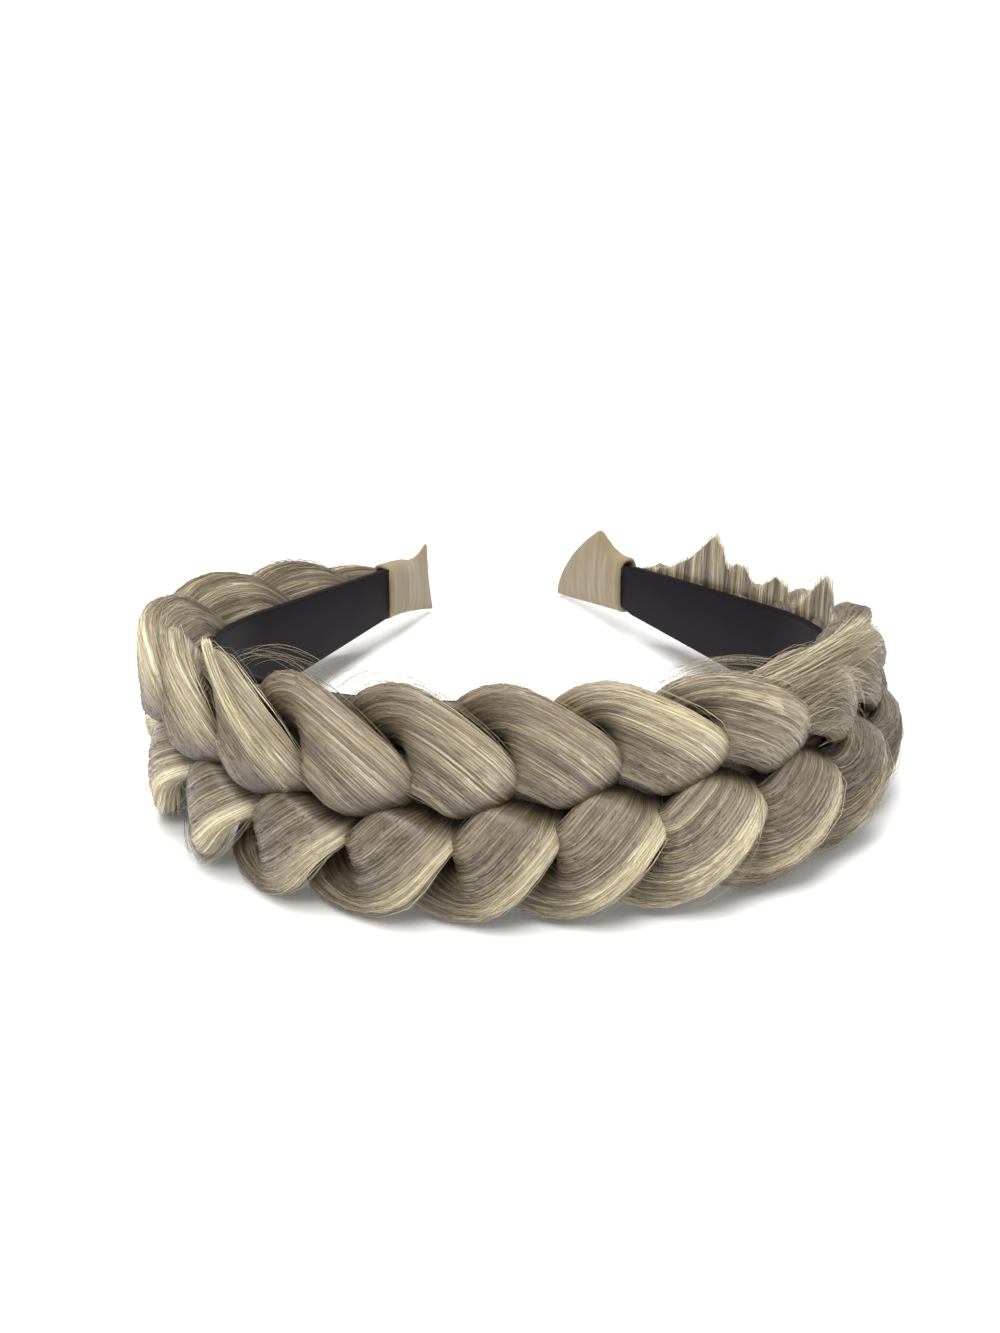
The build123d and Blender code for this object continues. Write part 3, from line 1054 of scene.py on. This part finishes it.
def hair_piece(
    name: str, points: np.ndarray, outward: np.ndarray, values: tuple, finish: Material
) -> Piece:
    """Many thin three-sided hairs in one piece.

    Args:
        name: Name of the piece.
        points: Middle lines, hairs by points by 3, in metres.
        outward: A direction across each hair at each point.
        values: One number for all, for each hair or for each point: radius in millimetres, flow
        coordinates across and along the hair, tone and the strength of the painted shade.
        finish: Its material.

    Returns:
        The piece.
    """
    run = unit(np.gradient(points, axis=1))
    outward = unit(outward - np.sum(outward * run, -1, keepdims=True) * run)
    beside = np.cross(run, outward)
    turns = FULL_TURN * np.arange(3) / 3
    ring = np.stack([outward * math.cos(turn) + beside * math.sin(turn) for turn in turns], 2)
    hairs, count = points.shape[:2]
    radius, across, along, tone, crease_shade = (np.broadcast_to(v, (hairs, count)) for v in values)
    vertices = points[:, :, None, :] + MM * radius[:, :, None, None] * ring
    first = (np.arange(hairs)[:, None] * count + np.arange(count)) * 3
    low, high = first[:, :-1, None], first[:, 1:, None]
    here, there = np.arange(3), (np.arange(3) + 1) % 3
    quads = np.stack([low + here, low + there, high + there, high + here], -1).reshape(-1, 4)
    ends = np.concatenate([first[:, :1] + (2, 1, 0), first[:, -1:] + (0, 1, 2)])
    mesh = bpy.data.meshes.new(name)
    mesh.from_pydata(vertices.reshape(-1, 3).tolist(), [], quads.tolist() + ends.tolist())
    add_flow(mesh, np.repeat(np.stack([across, along], -1).reshape(-1, 2), 3, axis=0))
    add_values(mesh, "tone", np.repeat(tone, 3))
    add_values(mesh, "crease_shade", np.repeat(crease_shade, 3))
    return dress(mesh, finish)


@dataclass(frozen=True)
class Strand:
    """One strand of the plait: a body of locks, and the hairs that lie on it."""

    letter: str
    number: int
    plait: Plait = Plait()
    locks: Locks = Locks()
    rings: int = 460
    sides: int = 62
    girth_share: float = 2.1  # girth over the braid's half width, for the flow coordinates
    flow_gap: float = 100.0  # between the flow coordinates of two strands, in millimetres
    press: Span = (0.1, 0.8)  # depths of the braid over which the locks gain their height
    # stages of a pass over which the painted shade lifts as the hair comes out, and falls again as
    # it dives on upper and on lower lobes
    emerge: Span = (-0.38, 0.34)
    edge_lead: float = 0.30  # by how many pitches the free edge comes out earlier
    upper_dive: Span = (0.64, 0.92)
    lower_dive: Span = (0.86, 1.02)
    # how near the free edge, and over which stages, a painted highlight makes the hair paler, and
    # by how much; last, how much painted shade darkens the lower lobes
    highlight_edge: Span = (0.45, 1.0)
    highlight_stage: Span = (-0.1, 0.5)
    upper_highlight: float = 0.24
    lower_highlight: float = 0.42
    lower_shade: float = 0.03
    seed: int = 40
    hairs_per_pass: int = 270
    hair_points: int = 9
    hair_radius: float = 0.05
    # ranges for single hairs: stages of root and tip, and lanes round the strand, counted from
    # the upper edge on upper lobes; most hairs lie in front, more of them near the free edge
    root_stage: Span = (-0.40, -0.02)
    tip_stage: Span = (0.74, 1.06)
    front_lanes: Span = (-0.06, 0.56)
    front_pull: float = 0.10
    back_lanes: Span = (0.56, 0.94)
    front_share: float = 0.80
    wave_turns: Span = (1.5, 5)
    wave_width: Span = (0.002, 0.012)
    rise: Span = (0.0, 0.28)
    rise_power: float = 0.5
    tip_sink: float = 0.30
    edge_lanes: float = 0.10  # hairs this near the free edge stray more often
    stray_share: float = 0.06
    stray_often: Span = (3.0, 0.6)  # how much more often there, and how much less elsewhere
    stray_rise: Span = (0.3, 1.6)
    stray_power: float = 1.5
    thickness: Span = (0.7, 1.25)
    tip_share: float = 0.25  # thickness of a hair's ends
    swell_power: float = 0.35  # how quickly a hair gains its full thickness
    tone_spread: float = 0.10

    def pressed(self, place: np.ndarray) -> np.ndarray:
        """Share of its full height that the hair has; it lies flat inside the end wraps."""
        return smooth_step(*self.press, self.plait.taper(Taper.DEEP, place))

    def lift(self, place: np.ndarray, round_share: np.ndarray) -> np.ndarray:
        """Height of the locks over the strand's oval, in millimetres."""
        return self.locks.lift(self.number, place, round_share) * self.pressed(place)

    def free(self, place: np.ndarray, round_share: np.ndarray) -> np.ndarray:
        """1 at the free edge of a lobe, 0 at the edge towards the middle of the braid."""
        side = self.plait.side_of(self.number, place)
        return (1 + side * circle(round_share)[0]) / 2

    def crease_shade(self, place: np.ndarray, round_share: np.ndarray) -> np.ndarray:
        """How deep the hair lies under other strands, as the strength of a painted shade.

        Args:
            place: Lengths along the band.
            round_share: Shares of the way round the strand.

        Returns:
            From 0 in the open to 1 and more where the hair is hidden.
        """
        stage = self.plait.stage_of(self.number, place)
        upper = self.plait.side_of(self.number, place) > 0
        out = stage + self.edge_lead * self.free(place, round_share)
        dives = smooth_step(*self.upper_dive, stage), smooth_step(*self.lower_dive, stage)
        # Painted shade: darker before the hair comes out from under the last strand, and again
        # where it dives
        return 1 - smooth_step(*self.emerge, out) + np.where(upper, *dives)

    def tone(self, place: np.ndarray, round_share: np.ndarray) -> np.ndarray:
        """How light the hair is.

        Args:
            place: Lengths along the band.
            round_share: Shares of the way round the strand.

        Returns:
            About 0 to 1, paler along the free edges and on the crests as a painted highlight, and
            a little darker on lower lobes as painted shade.
        """
        stage = self.plait.stage_of(self.number, place)
        pale = smooth_step(*self.highlight_edge, self.free(place, round_share))
        pale = pale * smooth_step(*self.highlight_stage, stage)
        upper = self.plait.side_of(self.number, place) > 0
        # Painted highlight along the free edges, and an even painted shade on the lower lobes
        change = np.where(upper, self.upper_highlight * pale, self.lower_highlight * pale - self.lower_shade)
        return self.locks.tone(self.number, place, round_share) + change

    def build_body(self, finish: Material) -> Piece:
        """Makes the strand's body and lets it stand for the strand's solid.

        Args:
            finish: The finish of the locks.

        Returns:
            The piece.
        """

        def shape(along: np.ndarray, round_share: np.ndarray) -> tuple:
            """Form of the body.

            Args:
                along: Shares of the way along it.
                round_share: Shares of the way round it.

            Returns:
                Points, flow coordinates and named numbers of its vertices.
            """
            place = self.plait.reach * (2 * along - 1)
            lift = self.lift(place, round_share)
            points = self.plait.surface(self.number, place, round_share, lift)
            girth = self.girth_share * self.plait.half_width
            flow = np.stack([round_share * girth + self.flow_gap * self.number, place], -1)
            tone, crease_shade = self.tone(place, round_share), self.crease_shade(place, round_share)
            return points, flow, {"tone": tone, "crease_shade": crease_shade}

        name = f"strand_{self.letter}_locks"
        piece = tube_piece(name, self.rings, self.sides, shape, finish)
        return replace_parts(piece, f"strand_{self.letter}")

    def build_hairs(self, finish: Material) -> Piece:
        """Makes the hairs that follow the strand from where it comes out to where it dives.

        Args:
            finish: The finish of the hairs.

        Returns:
            The piece.
        """
        plait, number = self.plait, self.number
        random = np.random.default_rng(self.seed + number)
        ends = np.array([-plait.reach, plait.reach])
        low, high = plait.pass_of(plait.pitches(ends) - number)
        passes = np.repeat(np.arange(low, high + 1), self.hairs_per_pass)[:, None]

        def spread(low: float, high: float) -> np.ndarray:
            """One even random number for each hair."""
            return random.uniform(low, high, passes.shape)

        upper = passes % 2 == 0
        root = passes * plait.pass_length + spread(*self.root_stage)
        tip = passes * plait.pass_length + spread(*self.tip_stage)
        front = spread(*self.front_lanes) - self.front_pull * spread(0, 1) ** 2
        back = spread(*self.back_lanes)
        lane = np.where(spread(0, 1) < self.front_share, front, back)
        near_edge = np.abs(lane) < self.edge_lanes
        lane = np.where(upper, lane, 0.5 - lane)
        share = np.linspace(0, 1, self.hair_points)
        place = plait.place_of(root + (tip - root) * share + number)
        wave = np.sin(share * spread(*self.wave_turns) + spread(0, FULL_TURN))
        round_share = lane + spread(*self.wave_width) * wave
        bow = np.sin(math.pi * share)
        rise = spread(*self.rise) * bow**self.rise_power
        stray = spread(0, 1) < self.stray_share * np.where(near_edge, *self.stray_often)
        rise = rise + np.where(stray, spread(*self.stray_rise), 0) * bow**self.stray_power
        rise = rise - self.tip_sink * (1 - bow) ** 3
        lift = self.lift(place, round_share) + rise * self.pressed(place)
        points = plait.surface(number, place, round_share, lift)
        outward = plait.surface(number, place, round_share, lift + 1) - points
        thick = self.tip_share + (1 - self.tip_share) * bow**self.swell_power
        radius = self.hair_radius * spread(*self.thickness) * thick
        across = spread(0, FLOW_REACH)
        tone = self.tone(place, round_share) + random.normal(0, self.tone_spread, passes.shape)
        values = (radius, across, place, tone, self.crease_shade(place, round_share))
        keep = np.abs(place[:, 0]) + np.abs(place[:, -1]) < 2 * plait.reach - 1
        kept = tuple(value[keep] for value in values)
        name = f"strand_{self.letter}_hairs"
        return hair_piece(name, points[keep], outward[keep], kept, finish)


@dataclass(frozen=True)
class UnderHair:
    """Hair pressed flat on the band beneath the plait, seen in its creases."""

    plait: Plait = Plait()
    reach_share: float = 0.90
    # how much of the braid's width it fills: upper part at the crown and on the legs, lower part
    crown_share: float = 0.67
    leg_share: float = 0.48
    lower_share: float = 0.60
    crown_ends: Span = (0.28, 0.40)  # shares of its length over which the crown gives way
    middle_out: float = 4.5
    half_thick: float = 1.6
    hump: float = 2.8
    hump_width: float = 6.0
    tone: float = 0.40
    # Painted shade over the whole layer, for the creases it shows in
    crease_shade: float = 0.5
    rings: int = 240
    sides: int = 24

    def build(self, finish: Material) -> Piece:
        """Makes the layer.

        Args:
            finish: The finish of the locks.

        Returns:
            The piece.
        """

        def shape(along: np.ndarray, round_share: np.ndarray) -> tuple:
            """Form of the layer.

            Args:
                along: Shares of the way along it.
                round_share: Shares of the way round it.

            Returns:
                Points, flow coordinates and named numbers of its vertices.
            """
            place = self.reach_share * self.plait.curve.half_length * (2 * along - 1)
            cosine, sine = circle(round_share)
            upper, lower = self.plait.edges(place)
            crown = 1 - smooth_step(*self.crown_ends, np.abs(2 * along - 1))
            upper = upper * (self.leg_share + (self.crown_share - self.leg_share) * crown)
            across = np.where(cosine > 0, upper, lower * self.lower_share) * cosine
            hump = self.hump * np.clip(sine, 0, 1) * np.exp(-((across / self.hump_width) ** 2))
            out = self.middle_out + self.half_thick * sine + hump
            points = self.plait.curve.world(place, across, out)
            ones = np.ones(len(place))
            values = {"tone": self.tone * ones, "crease_shade": self.crease_shade * ones}
            return points, np.stack([across, place], -1), values

        return tube_piece("under_hair", self.rings, self.sides, shape, finish)


@dataclass(frozen=True)
class Tuft:
    """Loose hairs that bow from a root to a tip; points are along, across and out in mm."""

    root: Triple
    bow: Triple
    tip: Triple
    root_spread: Triple
    tip_spread: Triple
    count: int
    tone: float = 0.60
    radius: float = 0.028


TUFTS = (
    # Brush of hair ends beside the crown
    Tuft((40, 22, 13.5), (50, 25, 14.5), (60.5, 29, 15.5), (5, 3, 0.8), (3, 2.5, 1.5), 110, 0.84,
         0.045),
    Tuft((42, 19, 14), (54, 25, 15.5), (65, 24, 16), (6, 4, 0.8), (3.5, 4, 1.5), 130, 0.78, 0.045),
    Tuft((45, 15, 14), (54, 21, 16), (58.5, 14, 16.5), (6, 4, 0.8), (3, 5, 1.5), 90, 0.80, 0.045),
    Tuft((50, 10, 15), (56, 13, 16.5), (58, 5, 17), (4, 3, 0.8), (2, 4, 1.5), 50, 0.70, 0.045),
    # Thin pale lock over the other side
    Tuft((-54.5, 28, 16.5), (-49.5, 16, 18.5), (-40.5, 2.5, 15.5), (0.7, 0.8, 0.8),
         (1.6, 1.6, 0.6), 170, 0.86, 0.045),
    # Fly-aways over the crests
    Tuft((20, 24, 12), (29, 31.5, 12), (42, 24, 14), (3, 1.5, 1), (4, 2, 1), 24),
    Tuft((-32, 22, 13), (-24, 33, 14), (-15, 22, 14), (3, 2, 1), (3, 2, 1), 26),
    Tuft((-50, 25, 13), (-42, 32, 14), (-33, 24, 14), (3, 2, 1), (3, 3, 1), 16),
    Tuft((-14, 23, 13), (-4, 31, 13), (8, 23, 14), (4, 2, 1), (4, 2, 1), 18),
    Tuft((44, 20, 13.5), (57, 31, 15), (68, 25, 16), (5, 4, 1), (4, 6, 2), 30),
    # Strays down the free edges of the lower lobes
    Tuft((20, -2, 15), (19, -14, 19), (10, -22, 17), (2, 2, 0.5), (3, 1.5, 1), 14, 0.7),
    Tuft((38, -2, 15), (38, -14, 19), (29, -21, 17), (2, 2, 0.5), (3, 1.5, 1), 14, 0.7),
    Tuft((2, -3, 15), (-1, -14, 19), (-10, -23, 17), (2, 2, 0.5), (3, 1.5, 1), 12, 0.7),
    Tuft((-47, -6, 15), (-52, -16, 19), (-58, -22, 17), (2, 2, 0.5), (3, 1.5, 1), 12, 0.7),
)


@dataclass(frozen=True)
class ToothedEdge:
    """Hair that stands up over the band along one leg, and ends in a row of points."""

    curve: BandCurve = BandCurve()
    # place in millimetres, how high the hair reaches over the band's middle
    profile: Table = (
        (90, 12.0), (92, 15.0), (94, 17.5), (97.0, 23.0), (100.5, 25.2), (105.5, 21.0),
        (110.5, 16.0), (113.9, 12.6), (116.3, 12.4), (117.8, 16.6), (121.8, 18.0), (125.5, 15.0),
        (128.3, 13.2), (130.3, 13.8), (133.1, 17.6), (136.1, 17.4), (139.7, 14.8), (141.5, 20.6),
        (144.7, 22.6), (148.5, 18.9), (154.5, 13.6), (162.5, 9.0), (172.0, 6.4), (178, 3.0),
    )
    root_height: float = -5.0
    root_out: float = 2.45
    lean_out: float = 0.4
    sheet_thick: float = 0.3
    sheet_share: float = 0.90  # how much of the profile's height the sheet fills
    sheet_open: Span = (0.2, 0.8)  # shares of the height over which it comes out of the shade
    # Painted shade at the roots of the standing hair, fading over sheet_open
    root_shade: float = 0.7
    middle_tone: float = 0.50
    stripes: Table = ((0.13, 1.7, 0.0), (0.12, 0.75, 1.0))  # of tone: height, rate, shift
    rings: int = 260
    sides: int = 20
    seed: int = 57
    count: int = 2200
    points: int = 6
    radius: float = 0.055
    # ranges and spreads of single hairs
    length: Span = (0.75, 1.02)
    tip_drift: float = 0.35
    hair_out: Span = (-0.3, 1.0)
    thickness: Span = (0.7, 1.2)
    tip_thinning: float = 0.6
    hair_tone: Span = (0.05, 0.08)
    tip_tone: float = 0.15

    def tone(self, place: np.ndarray) -> np.ndarray:
        """Tone of the light and dark stripes that run up the hair."""
        return self.middle_tone + waves(self.stripes, place)

    def build_sheet(self, finish: Material) -> Piece:
        """Makes the mass of the standing hair.

        Args:
            finish: The finish of the locks.

        Returns:
            The piece.
        """
        low, high = self.profile[0][0], self.profile[-1][0]

        def shape(along: np.ndarray, round_share: np.ndarray) -> tuple:
            """Form of the sheet.

            Args:
                along: Shares of the way along it.
                round_share: Shares of the way round it.

            Returns:
                Points, flow coordinates and named numbers of its vertices.
            """
            place = low + (high - low) * along
            cosine, sine = circle(round_share)
            share = (1 + cosine) / 2
            top = from_rows(self.profile, place) * self.sheet_share
            across = self.root_height + (top - self.root_height) * share
            out = self.root_out + self.lean_out * share + self.sheet_thick * sine
            points = self.curve.world(place, across, out)
            # Painted shade, darkest at the roots
            crease_shade = self.root_shade * (1 - smooth_step(*self.sheet_open, share))
            return points, np.stack([place, across], -1), {"tone": self.tone(place), "crease_shade": crease_shade}

        return tube_piece("toothed_locks", self.rings, self.sides, shape, finish)

    def build_hairs(self, finish: Material) -> Piece:
        """Makes the single hairs of the points.

        Args:
            finish: The finish of the hairs.

        Returns:
            The piece.
        """
        random = np.random.default_rng(self.seed)
        foot = random.uniform(self.profile[0][0], self.profile[-1][0], (self.count, 1))
        share = np.linspace(0, 1, self.points)[None, :]
        top = from_rows(self.profile, foot) * random.uniform(*self.length, foot.shape) ** 0.5
        place = foot + random.normal(0, self.tip_drift, foot.shape) * share
        across = self.root_height + (top - self.root_height) * share
        out = self.root_out + random.uniform(*self.hair_out, foot.shape) + self.lean_out * share
        points, outward = self.curve.with_outward(place, across, out)
        radius = self.radius * (1 - self.tip_thinning * share**3)
        radius = radius * random.uniform(*self.thickness, foot.shape)
        beside = random.uniform(0, FLOW_REACH, foot.shape)
        tone = self.tone(foot) + random.normal(*self.hair_tone, foot.shape) + self.tip_tone * share
        # The last value is a painted shade that fades from root to tip
        values = (radius, beside, across, tone, self.root_shade * (1 - share))
        return hair_piece("toothed_hairs", points, outward, values, finish)


@dataclass(frozen=True)
class LooseHairs:
    """Tufts, fly-aways and stray hairs that have left the plait."""

    curve: BandCurve = BandCurve()
    tufts: tuple[Tuft, ...] = TUFTS
    points: int = 11
    seed: int = 91
    # spreads of a hair's ends, as a share of its tuft's, and of its bow and tone
    end_spread: float = 0.5
    likeness: float = 0.5  # how far a hair that is off at its root is off at its tip too
    bow_spread: float = 0.3
    tone_spread: float = 0.12
    thickness: Span = (0.7, 1.2)
    tip_share: float = 0.35  # thickness of a hair's tip

    def build(self, finish: Material) -> Piece:
        """Makes all the loose hairs as one piece.

        Args:
            finish: The finish of the hairs.

        Returns:
            The piece.
        """
        random = np.random.default_rng(self.seed)
        share = np.linspace(0, 1, self.points)[None, :, None]
        lines, tones, radii = [], [], []
        for tuft in self.tufts:
            size = (tuft.count, 1, 3)
            near = random.normal(0, self.end_spread, size)
            far = self.likeness * near + random.normal(0, self.end_spread, size)
            root = tuft.root + near * tuft.root_spread
            tip = tuft.tip + far * tuft.tip_spread
            spread = (np.array(tuft.root_spread) + tuft.tip_spread) / 2
            bow = tuft.bow + (near + random.normal(0, self.bow_spread, size)) * spread
            lines.append(root * (1 - share) ** 2 + 2 * bow * share * (1 - share) + tip * share**2)
            tones.append(tuft.tone + random.normal(0, self.tone_spread, size[:2]))
            radii.append(np.full(size[:2], tuft.radius))
        place, across, out = np.moveaxis(np.concatenate(lines), -1, 0)
        points, outward = self.curve.with_outward(place, across, out)
        thick = self.tip_share + (1 - self.tip_share) * (1 - share[..., 0] ** 3)
        column = (len(points), 1)
        radius = np.concatenate(radii) * thick * random.uniform(*self.thickness, column)
        beside = random.uniform(0, FLOW_REACH, column)
        values = (radius, beside, place, np.concatenate(tones), 0.0)
        return hair_piece("loose_hairs", points, outward, values, finish)


@dataclass(frozen=True)
class BandShell:
    """The dark band, with its edges rounded."""

    edge_radius: float = 0.6
    edge_steps: int = 3
    edge_profile: float = 0.5
    sharp_angle: float = 50.0
    merge_reach: float = 1e-6  # metres

    def build(self, node: Piece, finish: Material) -> Piece:
        """Rounds a copy of the band's solid and lets it stand for the solid.

        Args:
            node: The band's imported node.
            finish: Its material.

        Returns:
            The piece.
        """
        mesh = node.data.copy()
        mesh.name = "band_shell"
        mesh.materials.clear()
        work = bmesh.new()
        work.from_mesh(mesh)
        bmesh.ops.remove_doubles(work, verts=work.verts, dist=self.merge_reach)
        least = math.radians(self.sharp_angle)
        bmesh.ops.bevel(
            work,
            geom=[edge for edge in work.edges if edge.calc_face_angle(0) > least],
            offset=self.edge_radius * MM,
            segments=self.edge_steps,
            profile=self.edge_profile,
            affect="EDGES",
            material=-1,
        )
        bmesh.ops.recalc_face_normals(work, faces=work.faces)
        work.to_mesh(mesh)
        work.free()
        piece = dress(mesh, finish)
        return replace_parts(piece, node.name)


@dataclass(frozen=True)
class EndWrap:
    """Cloth wrap pinched flat into a fish tail past the end of the band."""

    side: Side
    grip: float
    # upper, lower, top, bottom, full, bulge
    rows: Table
    curve: BandCurve = BandCurve()
    wrap_length: float = 21.0
    wrap_pinch: float = 1.7
    wrap_depth: float = 5.7
    wrap_middle: float = 2.09
    cloth: float = 0.9
    lip_share: float = 0.12  # share of the rings that form the turned-in mouth
    rim_share: float = 0.25  # share of the lip in which the rim turns over
    rim_round: float = 0.35
    lip_depth: float = 4.0
    # powers that square the oval of the section, across the band and upwards
    flank_power: float = 0.62
    edge_power: float = 0.75
    face_power: float = 0.3
    fold_height: float = 0.22
    # gathers: height, rate for each millimetre of length, slant from edge to edge
    gathers: Table = ((0.5, 1.15, 0.8), (0.3, 2.3, -1.3))
    gather_start: Span = (0.1, 0.4)  # shares of the length over which they begin
    tail_share: float = 0.25  # how much of them is left at the tail
    hem_height: float = 0.16
    hem_place: float = 1.0
    hem_width: float = 0.7
    flow_gap: float = 40.0  # between the flow coordinates of the two faces
    rings: int = 96
    sides: int = 96

    def shape(self, along: np.ndarray, round_share: np.ndarray) -> tuple:
        """Points of the wrap, from inside its mouth, round the rim and out to the tail.

        Args:
            along: Shares of the way along the wrap.
            round_share: Shares of the way round it.

        Returns:
            Points, flow coordinates and no numbers.
        """
        inside = 1 - np.clip(along / self.lip_share, 0, 1)
        step = np.clip((along - self.lip_share) / (1 - self.lip_share), 0, 1)
        columns = np.array(self.rows).T
        keys = (columns[0] + columns[1]) / 2
        keys = keys / keys[-1]
        upper, lower, top, bottom, full, bulge = (
            curve_through(keys, column, np.gradient(column, keys), step) for column in columns
        )
        half_neck = self.curve.band_neck_height / 2
        high, middle = (top - bottom) * half_neck, (top + bottom) * half_neck
        thick = (self.wrap_pinch + (self.wrap_depth - self.wrap_pinch) * np.clip(full, 0, 1)) / 2
        turned = np.clip(inside / self.rim_share, 0, 1)
        rim = np.sqrt(np.clip(1 - (2 * turned - 1) ** 2, 0, 1))
        cosine, sine = circle(round_share)
        across = signed_power(cosine, self.flank_power) * (thick - self.cloth * turned)
        up = signed_power(sine, self.edge_power) * (high - self.cloth * turned)
        share = up / high
        reach = (upper + lower) / 2 + (upper - lower) / 2 * share + bulge * (1 - share**2)
        length = reach * self.wrap_length - self.rim_round * rim
        length = length + self.lip_depth * np.clip(inside - self.rim_share, 0, 1)
        # Gathers run from edge to edge and fade towards the rim and the tail
        fold = 0.0
        for (size, rate, slant), shift in zip(self.gathers, (self.side.value, 2)):
            fold = fold + np.sin(length * rate + slant * share + shift) * size
        ease = smooth_step(*self.gather_start, step)
        ease = ease * (self.tail_share + (1 - self.tail_share) * (1 - step))
        hem = np.exp(-(((length - self.hem_place) / self.hem_width) ** 2)) * (inside <= 0)
        relief = self.fold_height * fold * ease + self.hem_height * hem
        across = across + signed_power(cosine, self.face_power) * relief
        place = self.side.value * (self.curve.half_length - self.grip + length)
        points = self.curve.world(place, middle + up, self.wrap_middle + across)
        return points, np.stack([length, up + self.flow_gap * (cosine > 0)], -1), {}

    def build(self, finish: Material) -> Piece:
        """Makes the wrap and lets it stand for its solid.

        Args:
            finish: The finish of the cloth.

        Returns:
            The piece.
        """
        title = self.side.name.lower()
        name = f"wrap_cloth_{title}"
        piece = tube_piece(name, self.rings, self.sides, self.shape, finish)
        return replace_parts(piece, f"end_wrap_{title}")


LEFT_ROWS = (
    (0.00, 0.00, 0.55, -0.56, 1.00, 0.00),
    (0.30, 0.32, 0.50, -0.59, 1.00, 0.00),
    (0.47, 0.50, 0.46, -0.64, 0.80, 0.00),
    (0.62, 0.68, 0.39, -0.70, 0.45, 0.00),
    (0.84, 0.93, 0.44, -0.79, 0.15, -0.02),
    (0.97, 1.09, 0.57, -0.86, 0.00, -0.07),
)
RIGHT_ROWS = (
    (0.00, 0.00, 0.55, -0.56, 1.00, 0.00),
    (0.18, 0.24, 0.55, -0.59, 1.00, 0.00),
    (0.30, 0.50, 0.62, -0.64, 0.75, 0.01),
    (0.42, 0.82, 0.77, -0.70, 0.40, 0.05),
    (0.55, 1.13, 0.90, -0.76, 0.15, 0.10),
    (0.67, 1.42, 0.78, -0.80, 0.00, 0.13),
)


@dataclass(frozen=True)
class Studio:
    """Pale floor, soft light and the camera."""

    camera_place: Triple = (-0.01828, -0.5506, 0.2625)
    camera_tilt: float = 66.14
    camera_turn: float = -1.49
    lens: float = 74.86
    sensor: float = 36.0
    clip: Span = (0.01, 50.0)
    floor_size: float = 8.0
    floor_colour: tuple[float, float, float, float] = (0.93, 0.93, 0.93, 1)
    floor_roughness: float = 0.9
    floor_specular: float = 0.1
    target: Triple = (0, 0, 0.02)
    # name, place, size in metres, power in watts
    lamps: tuple = (
        ("overhead", (-0.05, -0.12, 1.1), 0.8, 15.5),
        ("front_top", (-0.25, -0.75, 1.0), 0.4, 6.6),
        ("right_front", (1.0, -0.7, 0.6), 0.8, 0.7),
    )
    room_light: float = 0.62

    def build_camera(self) -> None:
        """Sets the camera at the photograph's angle."""
        data = bpy.data.cameras.new("camera")
        data.lens = self.lens
        data.sensor_width = self.sensor
        data.clip_start, data.clip_end = self.clip
        camera = add_object("camera", data)
        camera.location = self.camera_place
        camera.rotation_euler = (math.radians(self.camera_tilt), 0, math.radians(self.camera_turn))
        bpy.context.scene.camera = camera

    def build_floor(self) -> None:
        """Lays the plain pale floor."""
        mesh = bpy.data.meshes.new("floor")
        work = bmesh.new()
        bmesh.ops.create_grid(work, x_segments=1, y_segments=1, size=self.floor_size / 2)
        work.to_mesh(mesh)
        work.free()
        look = {
            "Base Color": self.floor_colour,
            "Roughness": self.floor_roughness,
            "Specular IOR Level": self.floor_specular,
        }
        mesh.materials.append(new_material("white_floor", look)[0])
        floor = add_object("floor", mesh)

    def build_lights(self) -> None:
        """Hangs one large soft lamp overhead and two weaker ones, in a white room."""
        for name, place, size, power in self.lamps:
            data = bpy.data.lights.new(name, "AREA")
            data.shape = "SQUARE"
            data.size = size
            data.energy = power
            lamp = add_object(name, data)
            lamp.location = place
            aim = Vector(self.target) - lamp.location
            lamp.rotation_euler = aim.to_track_quat("-Z", "Y").to_euler()
        world = bpy.data.worlds.new("white_room")
        world.use_nodes = True
        back = world.node_tree.nodes["Background"]
        back.inputs["Color"].default_value = (1, 1, 1, 1)
        back.inputs["Strength"].default_value = self.room_light
        bpy.context.scene.world = world
        bpy.context.scene.view_settings.view_transform = "Standard"

    def build(self) -> None:
        """Sets up the whole studio."""
        self.build_camera()
        self.build_floor()
        self.build_lights()


def main() -> None:
    """Builds the headband's pieces and the studio, in order."""
    logging.basicConfig(level=logging.INFO, format="%(message)s")
    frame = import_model()
    Studio().build()
    streaks = hair_streaks()
    lock_finish = HairFinish("ash_blonde_locks", contrast=1.20, relief=0.10).build(streaks)
    hair_finish = HairFinish("ash_blonde_hairs", contrast=0.95, relief=0.02).build(streaks)
    BandShell().build(frame["nodes"]["inner_band"], BandFinish().build())
    for number, letter in enumerate("abc"):
        strand = Strand(letter, number)
        strand.build_body(lock_finish)
        strand.build_hairs(hair_finish)
    UnderHair().build(lock_finish)
    LooseHairs().build(hair_finish)
    edge = ToothedEdge()
    edge.build_sheet(lock_finish)
    edge.build_hairs(hair_finish)
    cloth = ClothFinish().build()
    EndWrap(Side.LEFT, 7.5, LEFT_ROWS).build(cloth)
    EndWrap(Side.RIGHT, 3.2, RIGHT_ROWS).build(cloth)


if __name__ == "__main__":
    main()
